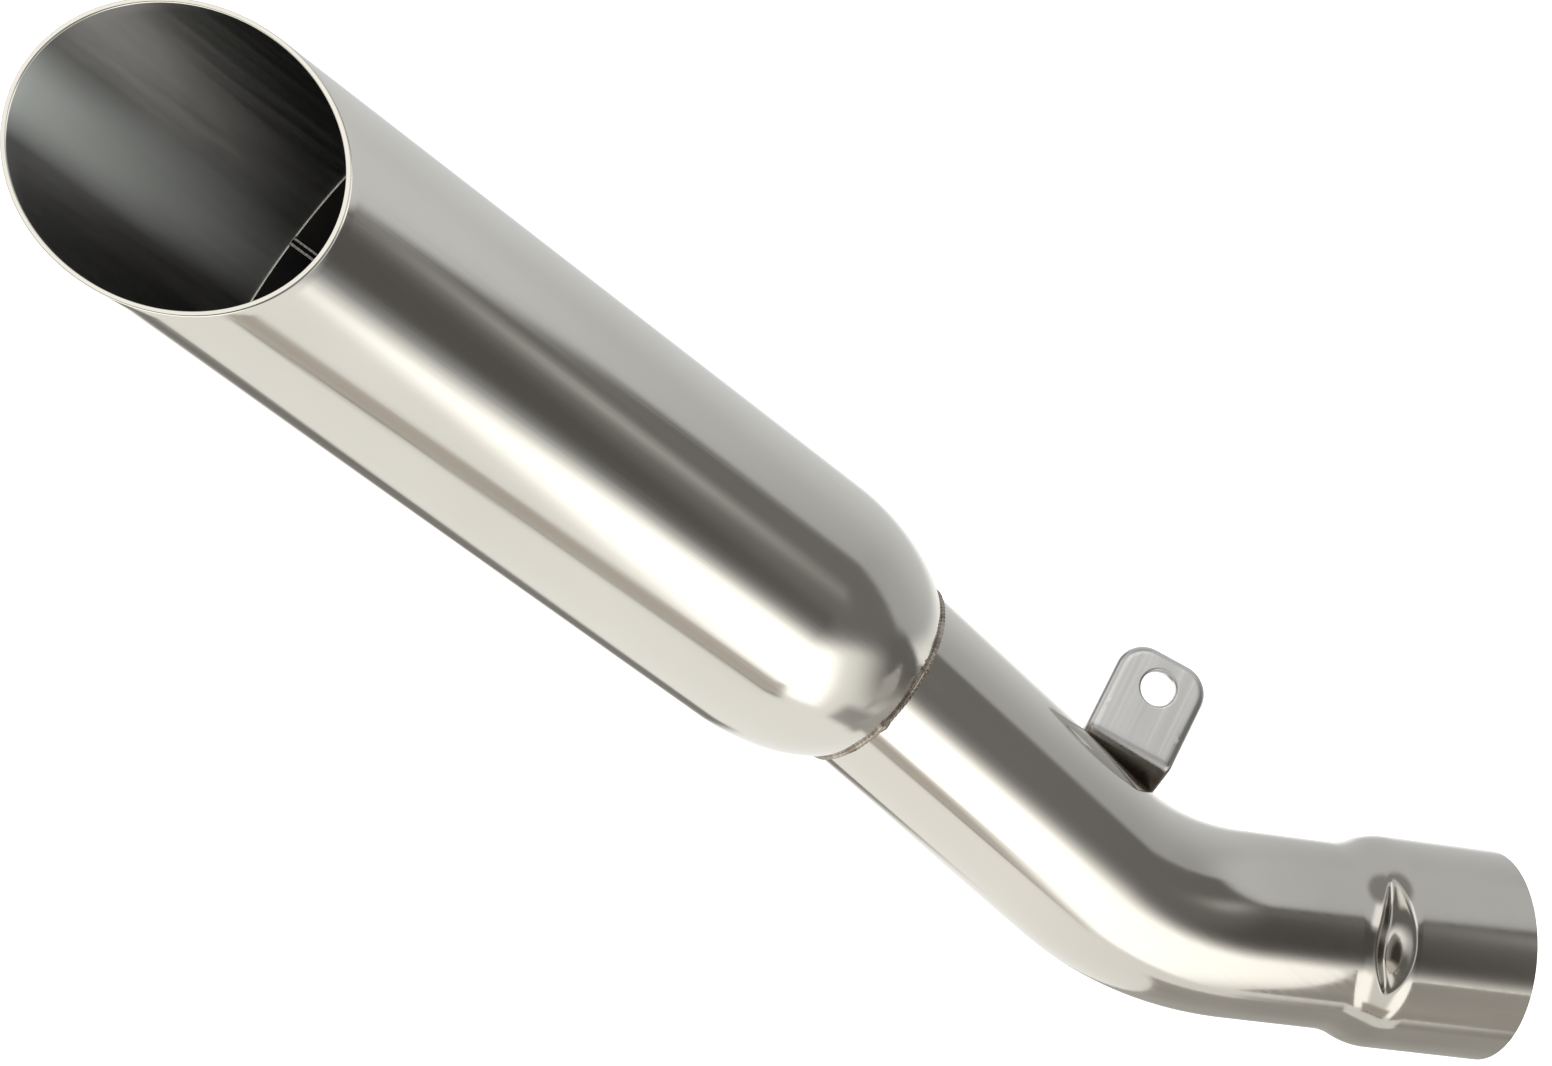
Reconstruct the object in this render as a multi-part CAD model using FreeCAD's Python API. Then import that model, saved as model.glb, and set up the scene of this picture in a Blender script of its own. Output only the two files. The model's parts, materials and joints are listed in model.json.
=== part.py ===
"""Slip-on motorcycle exhaust muffler with a slash-cut can, a bent inlet pipe and a hanger tab.

Row frame, in millimetres: the origin is the centre of the inlet socket's mouth, +X points out of
that mouth towards the header pipe, +Z is up, and the pipe bends in the XZ plane. The outer side,
where the slash cut opens and the hanger tab faces, is -Y.
"""
import FreeCAD, Part
import math
import os

Vector = FreeCAD.Vector
Rotation = FreeCAD.Rotation
Placement = FreeCAD.Placement
X_AXIS = Vector(1, 0, 0)
Y_AXIS = Vector(0, 1, 0)
Z_AXIS = Vector(0, 0, 1)
ORIGIN = Vector(0, 0, 0)

# Inlet pipe: 2 inch tube, its end swelled to a socket for a 54 mm link pipe
PIPE_R = 25.4
PIPE_WALL = 1.5
SOCKET_BORE_R = 27.4
SOCKET_LENGTH = 34.0        # straight bore, up to the depth stop
SOCKET_TAPER = 15.8
SOCKET_RUN = 101.8          # mouth to the corner where the two straight axes cross
CAN_RUN = 108.7             # that corner to the seam with the front dome
BEND_ANGLE = 32.7
BEND_R = 85.7
STUB = 12.0                 # pipe past the seam, inside the dome

# Depth stop: a groove pressed into the socket's root by a round bar laid across the pipe
STOP_X = -41.5
STOP_TILT = 33.0            # above horizontal, on the outer side
STOP_DEPTH = 4.5
STOP_BAR_R = 6.0
STOP_SURFACE_R = 28.3
STOP_BAR_LENGTH = 60.0

# Can: 2.75 inch tube with a spun front dome and a 45 degree slash cut
CAN_R = 34.925
CAN_WALL = 1.2
CAN_INCLINE = 27.8          # axis above horizontal
DOME_LENGTH = 48.45         # axial semi-axis of the dome's half ellipse
DOME_SKIRT = 5.0
DOME_BLANK_HOLE_R = 17.8    # hole in the spun blank, trimmed away later for the pipe
GIRTH_WELD = 1.5
WELD_ROOT = 0.3             # how far the girth weld stands proud inside
SLASH_S = 179.8             # dome base to the middle of the slash cut, along the can
SLASH_ANGLE = 45.0
SLASH_TURN = 16.6           # long side, from +Y towards the can's underside

# Core: 1.75 inch perforated tube with a welded lengthwise seam
CORE_R = 22.225
CORE_WALL = 1.5
CORE_START = -8.0
CORE_END = 112.0
HOLE_R = 1.6
HOLE_PITCH = 7.0
HOLES_ROUND = 16
HOLES_FIRST = 12.0
HOLE_ROWS = 13
CORE_SEAM_WIDTH = 2.0
CORE_SEAM_CROWN = 0.03

# Sleeve that carries the core's front end on the pipe stub
SLEEVE_GAP = 0.05
SLEEVE_WALL = 1.2
SLEEVE_IN_PIPE = 10.0
SLEEVE_ON_CORE = -12.0
SLEEVE_END = 3.0

# Bulkhead, bell and fillings, by station along the can from the dome's base
BULKHEAD_FLANGE = 4.6
SHEET = 1.2
FIT_GAP = 0.075
BELL_LIP_S = 142.0
BELL_LIP = 10.0
BELL_THROAT = 20.0
BELL_NECK = 8.0
BELL_SEAM_TURN = 102.5      # round the can, from its top towards the inner side
BELL_SEAM_WIDTH = 2.7
BELL_SEAM_CROWN = 0.15
PLUG_R = 2.5
PLUG_CROWN = 0.4
PLUG_S = 137.0
PLUG_TURNS = (15, 150, 195, 285)
WOOL_R = 24.2
WOOL_START = 4.0
PACKING_START = 7.0
PACKING_GAP = 0.1

# Hanger tab: 1 inch flat bar with one 3/8 inch hole and a short bent leg coped to the bend
TAB_HOLE = Vector(-110.2, 14.8, 59.2)
TAB_YAW = 10.2              # face swung round towards the can
TAB_LEAN = 33.8             # face tipped back from vertical
TAB_TURN = 16.8             # top edge tipped down towards the socket
TAB_WIDTH = 25.4
TAB_THICK = 3.0
TAB_HOLE_R = 4.76
TAB_TOP = 9.4               # hole centre to the top edge
TAB_CREASE = 16.6           # hole centre to the start of the fold
TAB_CORNER_R = 8.0
TAB_FOLD = 56.0
TAB_FOLD_R = 0.5
TAB_LEG = 15.0
TAB_EDGE_R = 0.8

# Weld beads
SEAM_BEAD_R = 1.2
SEAM_BEAD_OUT = 0.54        # bead's centre outside the pipe's surface
SEAM_BEAD_BACK = 0.3        # and back from the dome's seam
TAB_BEAD_R = 1.3
TACK_R = 1.6
TACK_TURNS = (0, 90, 180, 270)

# Working allowances
OVERCUT = 5.0               # how far a cutter runs past what it cuts
TOLERANCE = 0.01
FINE = 1e-4


def along(direction, distance):
    """The vector of the given length in a unit direction."""
    return Vector(direction).multiply(distance)


PIPE_DIR = Vector(-math.cos(math.radians(BEND_ANGLE)), 0, math.sin(math.radians(BEND_ANGLE)))
CAN_DIR = Vector(-math.cos(math.radians(CAN_INCLINE)), 0, math.sin(math.radians(CAN_INCLINE)))
BEND_CORNER = Vector(-SOCKET_RUN, 0, 0)
BEND_TANGENT = BEND_R * math.tan(math.radians(BEND_ANGLE / 2))
BEND_START = BEND_CORNER + Vector(BEND_TANGENT, 0, 0)
BEND_END = BEND_CORNER + along(PIPE_DIR, BEND_TANGENT)
BEND_CENTRE = BEND_START + Vector(0, 0, BEND_R)
SEAM = BEND_CORNER + along(PIPE_DIR, CAN_RUN)
SEAM_S = -DOME_LENGTH * math.sqrt(1 - (PIPE_R / CAN_R) ** 2)
DOME_BASE = SEAM - along(CAN_DIR, SEAM_S)
TO_CAN = Placement(DOME_BASE, Rotation(Y_AXIS, CAN_INCLINE - 90))
CAN_BORE_R = CAN_R - CAN_WALL
SOCKET_R = SOCKET_BORE_R + PIPE_WALL
PIPE_BORE_R = PIPE_R - PIPE_WALL
LIP_R = CAN_BORE_R - FIT_GAP
NECK_BORE_R = CORE_R + SLEEVE_GAP


def line(start, end):
    return Part.LineSegment(start, end).toShape()


def outline(points):
    """A closed face through straight-sided points."""
    return Part.Face(Part.makePolygon(points + [points[0]]))


def tube(outer_r, inner_r, start, end):
    """A straight tube about the local Z axis."""
    height = end - start
    outer = Part.makeCylinder(outer_r, height, Vector(0, 0, start))
    return outer.cut(Part.makeCylinder(inner_r, height, Vector(0, 0, start)))


def s_curve(start, end):
    """Two equal arcs that leave start and reach end along the first axis of the XZ plane."""
    run = end.x - start.x
    drop = end.z - start.z
    half_turn = math.atan2(abs(drop), abs(run))
    radius = (run * run + drop * drop) / (4 * abs(drop))
    side = math.copysign(1, drop)
    ahead = math.copysign(1, run)
    step = Vector(ahead * radius * math.sin(half_turn), 0, side * radius * (1 - math.cos(half_turn)))
    middle = (start + end) * 0.5
    first = Part.Arc(start, start + step, middle).toShape()
    second = Part.Arc(middle, end - step, end).toShape()
    return [first, second]


def swelled_rod(radius_end, radius_pipe):
    """A solid of the inlet pipe's straight socket end, filled, for the given radii."""
    taper_end = -SOCKET_LENGTH - SOCKET_TAPER
    lip = Vector(0, 0, radius_end)
    root = Vector(-SOCKET_LENGTH, 0, radius_end)
    neck = Vector(taper_end, 0, radius_pipe)
    last = Vector(BEND_START.x, 0, radius_pipe)
    on_axis = Vector(BEND_START.x, 0, 0)
    edges = [line(ORIGIN, lip), line(lip, root)] + s_curve(root, neck)
    edges += [line(neck, last), line(last, on_axis), line(on_axis, ORIGIN)]
    return Part.Face(Part.Wire(edges)).revolve(ORIGIN, X_AXIS, 360)


def bend_rod(radius):
    """A filled bend of the given radius, from the socket run to the can run."""
    disc = Part.Face(Part.Wire(Part.makeCircle(radius, BEND_START, X_AXIS)))
    return disc.revolve(BEND_CENTRE, Y_AXIS, BEND_ANGLE)


def can_run_rod(radius, past_seam):
    """A filled straight run from the bend to a point past the dome's seam."""
    length = (SEAM - BEND_END).Length + past_seam
    return Part.makeCylinder(radius, length, BEND_END, PIPE_DIR)


def stop_bar(extra):
    """The round bar that presses the depth stop, grown by extra."""
    out = Rotation(X_AXIS, -STOP_TILT).multVec(Vector(0, -1, 0))
    across = Rotation(X_AXIS, -STOP_TILT).multVec(Z_AXIS)
    centre = Vector(STOP_X, 0, 0) + along(out, STOP_SURFACE_R - STOP_DEPTH + STOP_BAR_R)
    start = centre - along(across, STOP_BAR_LENGTH / 2)
    return Part.makeCylinder(STOP_BAR_R + extra, STOP_BAR_LENGTH, start, across)


def pipe_rod(wall, past_seam):
    """The whole inlet pipe as a filled solid, its surface moved in by wall."""
    end = swelled_rod(SOCKET_R - wall, PIPE_R - wall).cut(stop_bar(wall))
    rod = end.fuse([bend_rod(PIPE_R - wall), can_run_rod(PIPE_R - wall, past_seam)])
    return rod.removeSplitter()


def inlet_pipe():
    return pipe_rod(0, STUB).cut(pipe_rod(PIPE_WALL, STUB))


def dome_arc(length, radius, narrow_r):
    """Half of a half ellipse, from the radius narrow_r back to the dome's base."""
    ellipse = Part.Ellipse(Vector(0, 0, -length), Vector(radius, 0, 0), ORIGIN)
    start = math.asin(narrow_r / radius)
    return Part.Arc(ellipse, start, math.pi / 2).toShape()


def seam_hole(extra):
    """The pipe's outline through the dome, in the can's own frame."""
    centre = TO_CAN.inverse().multVec(SEAM)
    direction = Rotation(Y_AXIS, BEND_ANGLE - CAN_INCLINE).multVec(Z_AXIS)
    start = centre - along(direction, CAN_R)
    return Part.makeCylinder(PIPE_R + extra, CAN_R * 2, start, direction)


def dome_shell():
    inner_r = CAN_R - CAN_WALL
    outer = dome_arc(DOME_LENGTH, CAN_R, DOME_BLANK_HOLE_R)
    inner = dome_arc(DOME_LENGTH - CAN_WALL, inner_r, DOME_BLANK_HOLE_R)
    outer_start = outer.Vertexes[0].Point
    inner_start = inner.Vertexes[0].Point
    outer_rim = Vector(CAN_R, 0, DOME_SKIRT)
    inner_rim = Vector(inner_r, 0, DOME_SKIRT)
    edges = [outer, line(Vector(CAN_R, 0, 0), outer_rim), line(outer_rim, inner_rim)]
    edges += [line(inner_rim, Vector(inner_r, 0, 0)), inner, line(inner_start, outer_start)]
    return Part.Face(Part.Wire(Part.__sortEdges__(edges))).revolve(ORIGIN, Z_AXIS, 360)


def front_dome():
    return dome_shell().cut(seam_hole(0))


def shell_girth_weld():
    return tube(CAN_R, CAN_BORE_R - WELD_ROOT, DOME_SKIRT, DOME_SKIRT + GIRTH_WELD)


def slash_tool():
    """A block whose lower face is the slash plane, in the can's own frame."""
    size = CAN_R * 6
    block = Part.makeBox(size, size, size, Vector(-size / 2, -size / 2, 0))
    lean_axis = Rotation(Z_AXIS, SLASH_TURN).multVec(X_AXIS)
    block.Placement = Placement(Vector(0, 0, SLASH_S), Rotation(lean_axis, SLASH_ANGLE))
    return block


def can_shell():
    start = DOME_SKIRT + GIRTH_WELD
    return tube(CAN_R, CAN_BORE_R, start, SLASH_S + CAN_R * 2).cut(slash_tool())


def pipe_dome_weld():
    """The fusion bead in the corner between the dome and the pipe."""
    centre = Vector(0, 0, SEAM_S - SEAM_BEAD_BACK)
    bead = Part.makeTorus(PIPE_R + SEAM_BEAD_OUT, SEAM_BEAD_R, centre)
    dome_face = dome_arc(DOME_LENGTH, CAN_R, DOME_BLANK_HOLE_R)
    tip = dome_face.Vertexes[0].Point
    tip_axis = Vector(0, 0, tip.z)
    edges = [dome_face, line(Vector(CAN_R, 0, 0), ORIGIN), line(ORIGIN, tip_axis), line(tip_axis, tip)]
    dome_solid = Part.Face(Part.Wire(Part.__sortEdges__(edges))).revolve(ORIGIN, Z_AXIS, 360)
    return bead.cut([seam_hole(0), dome_solid])


def seam_strip(outer_r, inner_r, width, start, end, turn):
    """A lengthwise strip of a tube's wall, at an angle round the can from its top."""
    box = Part.makeBox(outer_r * 2, width, end - start, Vector(0, -width / 2, start))
    box.rotate(ORIGIN, Z_AXIS, turn)
    return tube(outer_r, inner_r, start, end).common(box)


def core_holes():
    """Rows of round holes, each row turned by half a step from the last."""
    cutters = []
    step = 360 / HOLES_ROUND
    for row in range(HOLE_ROWS):
        station = HOLES_FIRST + row * HOLE_PITCH
        for index in range(HOLES_ROUND // 2):
            turn = step * (index + 0.5 * (row % 2)) + step / 4
            direction = Rotation(Z_AXIS, turn).multVec(X_AXIS)
            start = Vector(0, 0, station) - along(direction, CORE_R * 1.5)
            cutters.append(Part.makeCylinder(HOLE_R, CORE_R * 3, start, direction))
    return cutters


def perforated_core():
    inner_r = CORE_R - CORE_WALL
    slot = seam_strip(CORE_R + OVERCUT, inner_r - OVERCUT, CORE_SEAM_WIDTH, CORE_START, CORE_END, 0)
    return tube(CORE_R, inner_r, CORE_START, CORE_END).cut([slot] + core_holes())


def core_seam_weld():
    outer_r = CORE_R + CORE_SEAM_CROWN
    inner_r = CORE_R - CORE_WALL - CORE_SEAM_CROWN
    return seam_strip(outer_r, inner_r, CORE_SEAM_WIDTH, CORE_START, CORE_END, 0)


def sleeve_rod(pipe_side_r, core_side_r):
    """A filled sleeve: straight in the pipe stub, skewed across the gap, straight on the core."""
    tilt = Rotation(Y_AXIS, BEND_ANGLE - CAN_INCLINE)
    direction = tilt.multVec(Z_AXIS)
    pipe_end = Vector(0, 0, SEAM_S) + along(direction, STUB)
    in_pipe = Part.makeCylinder(pipe_side_r, SLEEVE_IN_PIPE, pipe_end, direction * -1)
    core_start = Vector(0, 0, SLEEVE_ON_CORE)
    first = Part.Wire(Part.makeCircle(pipe_side_r, pipe_end, direction))
    last = Part.Wire(Part.makeCircle(core_side_r, core_start, Z_AXIS))
    skew = Part.makeLoft([first, last], True)
    on_core = Part.makeCylinder(core_side_r, SLEEVE_END - SLEEVE_ON_CORE, core_start)
    return in_pipe.fuse([skew, on_core])


def core_sleeve():
    outer_in_pipe = PIPE_BORE_R - SLEEVE_GAP
    outer = sleeve_rod(outer_in_pipe, NECK_BORE_R + SLEEVE_WALL)
    return outer.cut(sleeve_rod(outer_in_pipe - SLEEVE_WALL, NECK_BORE_R))


def front_bulkhead():
    hole_r = NECK_BORE_R + SLEEVE_WALL + SLEEVE_GAP
    plate = tube(LIP_R, hole_r, 0, SHEET)
    return plate.fuse(tube(LIP_R, LIP_R - SHEET, 0, BULKHEAD_FLANGE)).removeSplitter()


def bulkhead_tack_welds():
    """Tacks in the corner between the sleeve and the bulkhead's rear face."""
    ring_r = NECK_BORE_R + SLEEVE_WALL
    tacks = []
    for turn in TACK_TURNS:
        centre = Rotation(Z_AXIS, turn).multVec(Vector(ring_r, 0, SHEET))
        tacks.append(Part.makeSphere(TACK_R, centre).cut([front_bulkhead(), sleeve_block()]))
    return Part.makeCompound([upper_piece(tack) for tack in tacks])


def sleeve_block():
    """Everything below the bulkhead's rear face and inside the sleeve, as one filled cutter."""
    ring_r = NECK_BORE_R + SLEEVE_WALL
    inside = Part.makeCylinder(ring_r, OVERCUT * 2, Vector(0, 0, -OVERCUT))
    below = Part.makeCylinder(CAN_BORE_R, OVERCUT, Vector(0, 0, SHEET - OVERCUT))
    return inside.fuse(below)


def upper_piece(shape):
    """The solid of a shape that lies furthest along the can."""
    return max(shape.Solids, key=lambda solid: solid.CenterOfMass.z)


def wool_wrap():
    return tube(WOOL_R, CORE_R + SLEEVE_GAP, WOOL_START, bell_neck_start() - PACKING_GAP)


def packing_sleeve():
    outer_r = CAN_BORE_R - PACKING_GAP
    return tube(outer_r, WOOL_R + PACKING_GAP, PACKING_START, bell_throat_start())


def bell_throat_start():
    return BELL_LIP_S - BELL_LIP - BELL_THROAT


def bell_neck_start():
    return bell_throat_start() - BELL_NECK


def bell_side(neck_r, lip_r):
    """One surface of the bell's section: neck, flared throat and lip."""
    throat_start = bell_throat_start()
    throat_end = BELL_LIP_S - BELL_LIP
    neck = line(Vector(bell_neck_start(), 0, neck_r), Vector(throat_start, 0, neck_r))
    swing = s_curve(Vector(throat_start, 0, neck_r), Vector(throat_end, 0, lip_r))
    lip = line(Vector(throat_end, 0, lip_r), Vector(BELL_LIP_S, 0, lip_r))
    return [neck] + swing + [lip]


def bell_profile():
    """Half section of the bell, one sheet thick."""
    neck_start = bell_neck_start()
    outer_neck_r = NECK_BORE_R + SHEET
    inner_lip_r = LIP_R - SHEET
    front = line(Vector(neck_start, 0, NECK_BORE_R), Vector(neck_start, 0, outer_neck_r))
    rear = line(Vector(BELL_LIP_S, 0, inner_lip_r), Vector(BELL_LIP_S, 0, LIP_R))
    edges = bell_side(outer_neck_r, LIP_R) + bell_side(NECK_BORE_R, inner_lip_r) + [front, rear]
    return Part.Face(Part.Wire(Part.__sortEdges__(edges)))


def bell_blank():
    """The bell revolved about the local X axis, then stood on the can's axis."""
    blank = bell_profile().revolve(ORIGIN, X_AXIS, 360)
    blank.rotate(ORIGIN, Y_AXIS, -90)
    return blank


def plug_cutters(radius, outer_r, inner_r):
    """Radial discs through the bell's lip, at the plug welds."""
    plugs = []
    for turn in PLUG_TURNS:
        direction = Rotation(Z_AXIS, turn).multVec(X_AXIS)
        start = Vector(0, 0, PLUG_S) + along(direction, inner_r - OVERCUT)
        rod = Part.makeCylinder(radius, OVERCUT * 4, start, direction)
        plugs.append(rod.common(tube(outer_r, inner_r, PLUG_S - radius * 2, PLUG_S + radius * 2)))
    return plugs


def outlet_bell():
    lip_start = BELL_LIP_S - BELL_LIP
    inner_r = LIP_R - OVERCUT
    slot = seam_strip(CAN_R, inner_r, BELL_SEAM_WIDTH, lip_start, BELL_LIP_S, BELL_SEAM_TURN)
    return bell_blank().cut([slot] + plug_cutters(PLUG_R, CAN_R, inner_r))


def bell_seam_weld():
    lip_start = BELL_LIP_S - BELL_LIP
    inner_r = LIP_R - SHEET - BELL_SEAM_CROWN
    return seam_strip(LIP_R, inner_r, BELL_SEAM_WIDTH, lip_start, BELL_LIP_S, BELL_SEAM_TURN)


def bell_plug_welds():
    return Part.makeCompound(plug_cutters(PLUG_R, CAN_BORE_R, LIP_R - SHEET - PLUG_CROWN))


def tab_placement():
    """The hanger tab's frame: local X along its width, local Y up its face, local Z outwards."""
    yaw = Rotation(Z_AXIS, -TAB_YAW)
    stand = Rotation(X_AXIS, 90 - TAB_LEAN)
    turn = Rotation(Z_AXIS, -TAB_TURN)
    return Placement(TAB_HOLE, yaw.multiply(stand).multiply(turn))


def fold_point(angle, radius):
    """A point round the tab's fold, in the local YZ plane."""
    centre_z = -(TAB_FOLD_R + TAB_THICK)
    return Vector(0, -TAB_CREASE - radius * math.sin(angle), centre_z + radius * math.cos(angle))


def tab_strip():
    """The folded strip at full width, before its outline, hole and cope are cut."""
    fold = math.radians(TAB_FOLD)
    outer_r = TAB_FOLD_R + TAB_THICK
    leg = Vector(0, -math.cos(fold), -math.sin(fold)) * TAB_LEG
    top_front = Vector(0, TAB_TOP, 0)
    top_back = Vector(0, TAB_TOP, -TAB_THICK)
    front_arc = [fold_point(a, outer_r) for a in (0, fold / 2, fold)]
    back_arc = [fold_point(a, TAB_FOLD_R) for a in (fold, fold / 2, 0)]
    leg_front = front_arc[2] + leg
    leg_back = back_arc[0] + leg
    edges = [line(top_front, front_arc[0]), Part.Arc(*front_arc).toShape()]
    edges += [line(front_arc[2], leg_front), line(leg_front, leg_back), line(leg_back, back_arc[0])]
    edges += [Part.Arc(*back_arc).toShape(), line(back_arc[2], top_back), line(top_back, top_front)]
    strip = Part.Face(Part.Wire(edges)).extrude(Vector(TAB_WIDTH, 0, 0))
    strip.translate(Vector(-TAB_WIDTH / 2, 0, 0))
    return strip


def tab_outline():
    """The tab's front view, extruded: straight sides and two rounded top corners."""
    size = TAB_WIDTH * 3
    block = Part.makeBox(TAB_WIDTH, size, size, Vector(-TAB_WIDTH / 2, TAB_TOP - size, -size / 2))
    top = [edge for edge in block.Edges if abs(edge.CenterOfMass.y - TAB_TOP) < TOLERANCE]
    corners = [edge for edge in top if abs(edge.CenterOfMass.x) > TAB_WIDTH / 2 - TOLERANCE]
    upright = [edge for edge in corners if abs(edge.CenterOfMass.z) < TOLERANCE]
    return block.makeFillet(TAB_CORNER_R, upright)


def roll_front_edge(tab):
    """Round the front face's outer edge, as blanking leaves it."""
    front = [face for face in tab.Faces if abs(face.CenterOfMass.z) < TOLERANCE]
    rim = [edge for edge in front[0].Edges if edge.CenterOfMass.y > TOLERANCE - TAB_CREASE]
    return tab.makeFillet(TAB_EDGE_R, rim)


def mount_bracket():
    tab = tab_strip().common(tab_outline())
    tab = roll_front_edge(tab)
    tab = tab.cut(Part.makeCylinder(TAB_HOLE_R, OVERCUT * 4, Vector(0, 0, -OVERCUT * 2)))
    tab.Placement = tab_placement()
    return tab.cut(pipe_rod(0, 0))


def axis_distance(point):
    """Distance from the inlet pipe's centre line, beyond the socket."""
    along_run = (point - BEND_END).dot(PIPE_DIR)
    if along_run > 0:
        return (point - BEND_END - along(PIPE_DIR, along_run)).Length
    if point.x > BEND_START.x:
        return math.hypot(point.y, point.z)
    outward = math.hypot(point.x - BEND_CENTRE.x, point.z - BEND_CENTRE.z)
    return math.hypot(outward - BEND_R, point.y)


def leg_foot(side):
    """Where a line down the leg's inner face meets the pipe, at an offset across the tab."""
    fold = math.radians(TAB_FOLD)
    start = fold_point(fold, TAB_FOLD_R) + Vector(side, 0, 0)
    down = Vector(0, -math.cos(fold), -math.sin(fold))
    frame = tab_placement()
    low = 0.0
    high = TAB_LEG
    while high - low > FINE:
        middle = (low + high) / 2
        if axis_distance(frame.multVec(start + along(down, middle))) > PIPE_R:
            low = middle
        else:
            high = middle
    return frame.multVec(start + along(down, low))


def bracket_weld():
    """The fillet bead along the foot of the tab's leg, on its inner side."""
    inset = TAB_WIDTH / 2 - TAB_BEAD_R
    feet = [leg_foot(side) for side in (-inset, 0, inset)]
    path = Part.Wire(Part.Arc(*feet).toShape())
    start_dir = path.Edges[0].tangentAt(path.Edges[0].FirstParameter)
    ring = Part.Wire(Part.makeCircle(TAB_BEAD_R, feet[0], start_dir))
    bead = path.makePipeShell([ring], True, False)
    caps = [Part.makeSphere(TAB_BEAD_R, foot) for foot in (feet[0], feet[2])]
    bead = bead.fuse(caps).removeSplitter().cut([mount_bracket(), pipe_rod(0, 0)])
    return max(bead.Solids, key=lambda solid: solid.Volume)


IN_ROW_FRAME = {
    "inlet_pipe": inlet_pipe,
    "mount_bracket": mount_bracket,
    "bracket_weld": bracket_weld,
}

IN_CAN_FRAME = {
    "front_dome": front_dome,
    "shell_girth_weld": shell_girth_weld,
    "can_shell": can_shell,
    "pipe_dome_weld": pipe_dome_weld,
    "core_sleeve": core_sleeve,
    "front_bulkhead": front_bulkhead,
    "bulkhead_tack_welds": bulkhead_tack_welds,
    "perforated_core": perforated_core,
    "core_seam_weld": core_seam_weld,
    "steel_wool_wrap": wool_wrap,
    "packing_sleeve": packing_sleeve,
    "outlet_bell": outlet_bell,
    "bell_seam_weld": bell_seam_weld,
    "bell_plug_welds": bell_plug_welds,
}


def export(name, shape):
    shape.exportStep("parts/" + name + ".step")
    box = shape.BoundBox
    print(name, "solids", len(shape.Solids), "valid", shape.isValid(), "volume", round(shape.Volume, 1),
          "x", round(box.XMin, 1), round(box.XMax, 1), "z", round(box.ZMin, 1), round(box.ZMax, 1))


def main():
    os.makedirs("parts", exist_ok=True)
    for name, build in IN_ROW_FRAME.items():
        export(name, build())
    for name, build in IN_CAN_FRAME.items():
        shape = build()
        shape.Placement = TO_CAN.multiply(shape.Placement)
        export(name, shape)


main()
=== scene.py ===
"""Studio scene for a slash-cut slip-on muffler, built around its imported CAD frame.

Lengths are in metres in the CAD row frame: the origin is the centre of the socket's mouth, +X points
out of it, +Z is up, the slash cut opens towards -Y and the camera looks from that side.
"""

import json
import math

import bpy
import numpy as np
from mathutils import Matrix, Vector


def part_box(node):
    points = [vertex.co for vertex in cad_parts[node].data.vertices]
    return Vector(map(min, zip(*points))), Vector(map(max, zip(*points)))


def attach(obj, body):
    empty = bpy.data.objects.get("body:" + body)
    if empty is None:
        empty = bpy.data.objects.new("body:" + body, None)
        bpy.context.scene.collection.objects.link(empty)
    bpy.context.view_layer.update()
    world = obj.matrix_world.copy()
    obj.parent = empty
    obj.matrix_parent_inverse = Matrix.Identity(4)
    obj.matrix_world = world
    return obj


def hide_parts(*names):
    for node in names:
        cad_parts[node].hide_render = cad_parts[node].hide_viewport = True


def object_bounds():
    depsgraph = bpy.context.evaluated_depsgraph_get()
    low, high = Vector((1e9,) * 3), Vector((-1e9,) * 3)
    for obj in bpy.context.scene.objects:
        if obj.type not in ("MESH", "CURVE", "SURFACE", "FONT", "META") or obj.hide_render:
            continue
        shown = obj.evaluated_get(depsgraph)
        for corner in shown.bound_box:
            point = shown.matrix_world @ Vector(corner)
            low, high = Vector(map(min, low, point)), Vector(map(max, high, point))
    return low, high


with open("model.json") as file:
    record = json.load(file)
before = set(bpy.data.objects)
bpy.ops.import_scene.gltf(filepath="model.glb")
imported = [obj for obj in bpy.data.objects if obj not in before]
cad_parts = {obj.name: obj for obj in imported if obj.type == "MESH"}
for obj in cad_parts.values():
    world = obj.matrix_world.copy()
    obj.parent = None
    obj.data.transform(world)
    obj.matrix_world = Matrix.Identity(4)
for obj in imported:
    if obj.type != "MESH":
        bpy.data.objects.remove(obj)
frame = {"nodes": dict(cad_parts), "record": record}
CAD_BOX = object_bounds()
MM = 0.001

# Sizes that the frame's boxes and mounts don't give. The slash cut runs 45 degrees to the can's axis.
PIPE_R = 25.4 * MM
PIPE_WALL = 1.5 * MM
SOCKET_TAPER = 15.8 * MM
SOCKET_RUN = 101.8 * MM
BEND_ANGLE = math.radians(32.7)
BEND_R = 85.7 * MM
CAN_WALL = 1.2 * MM
GIRTH_WELD = 1.5 * MM
DOME_SKIRT = 5.0 * MM
STUB = 12.0 * MM
SLASH_S = 179.8 * MM
SLASH_TURN = math.radians(16.6)
SLASH_SLOPE = 1.0

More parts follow.
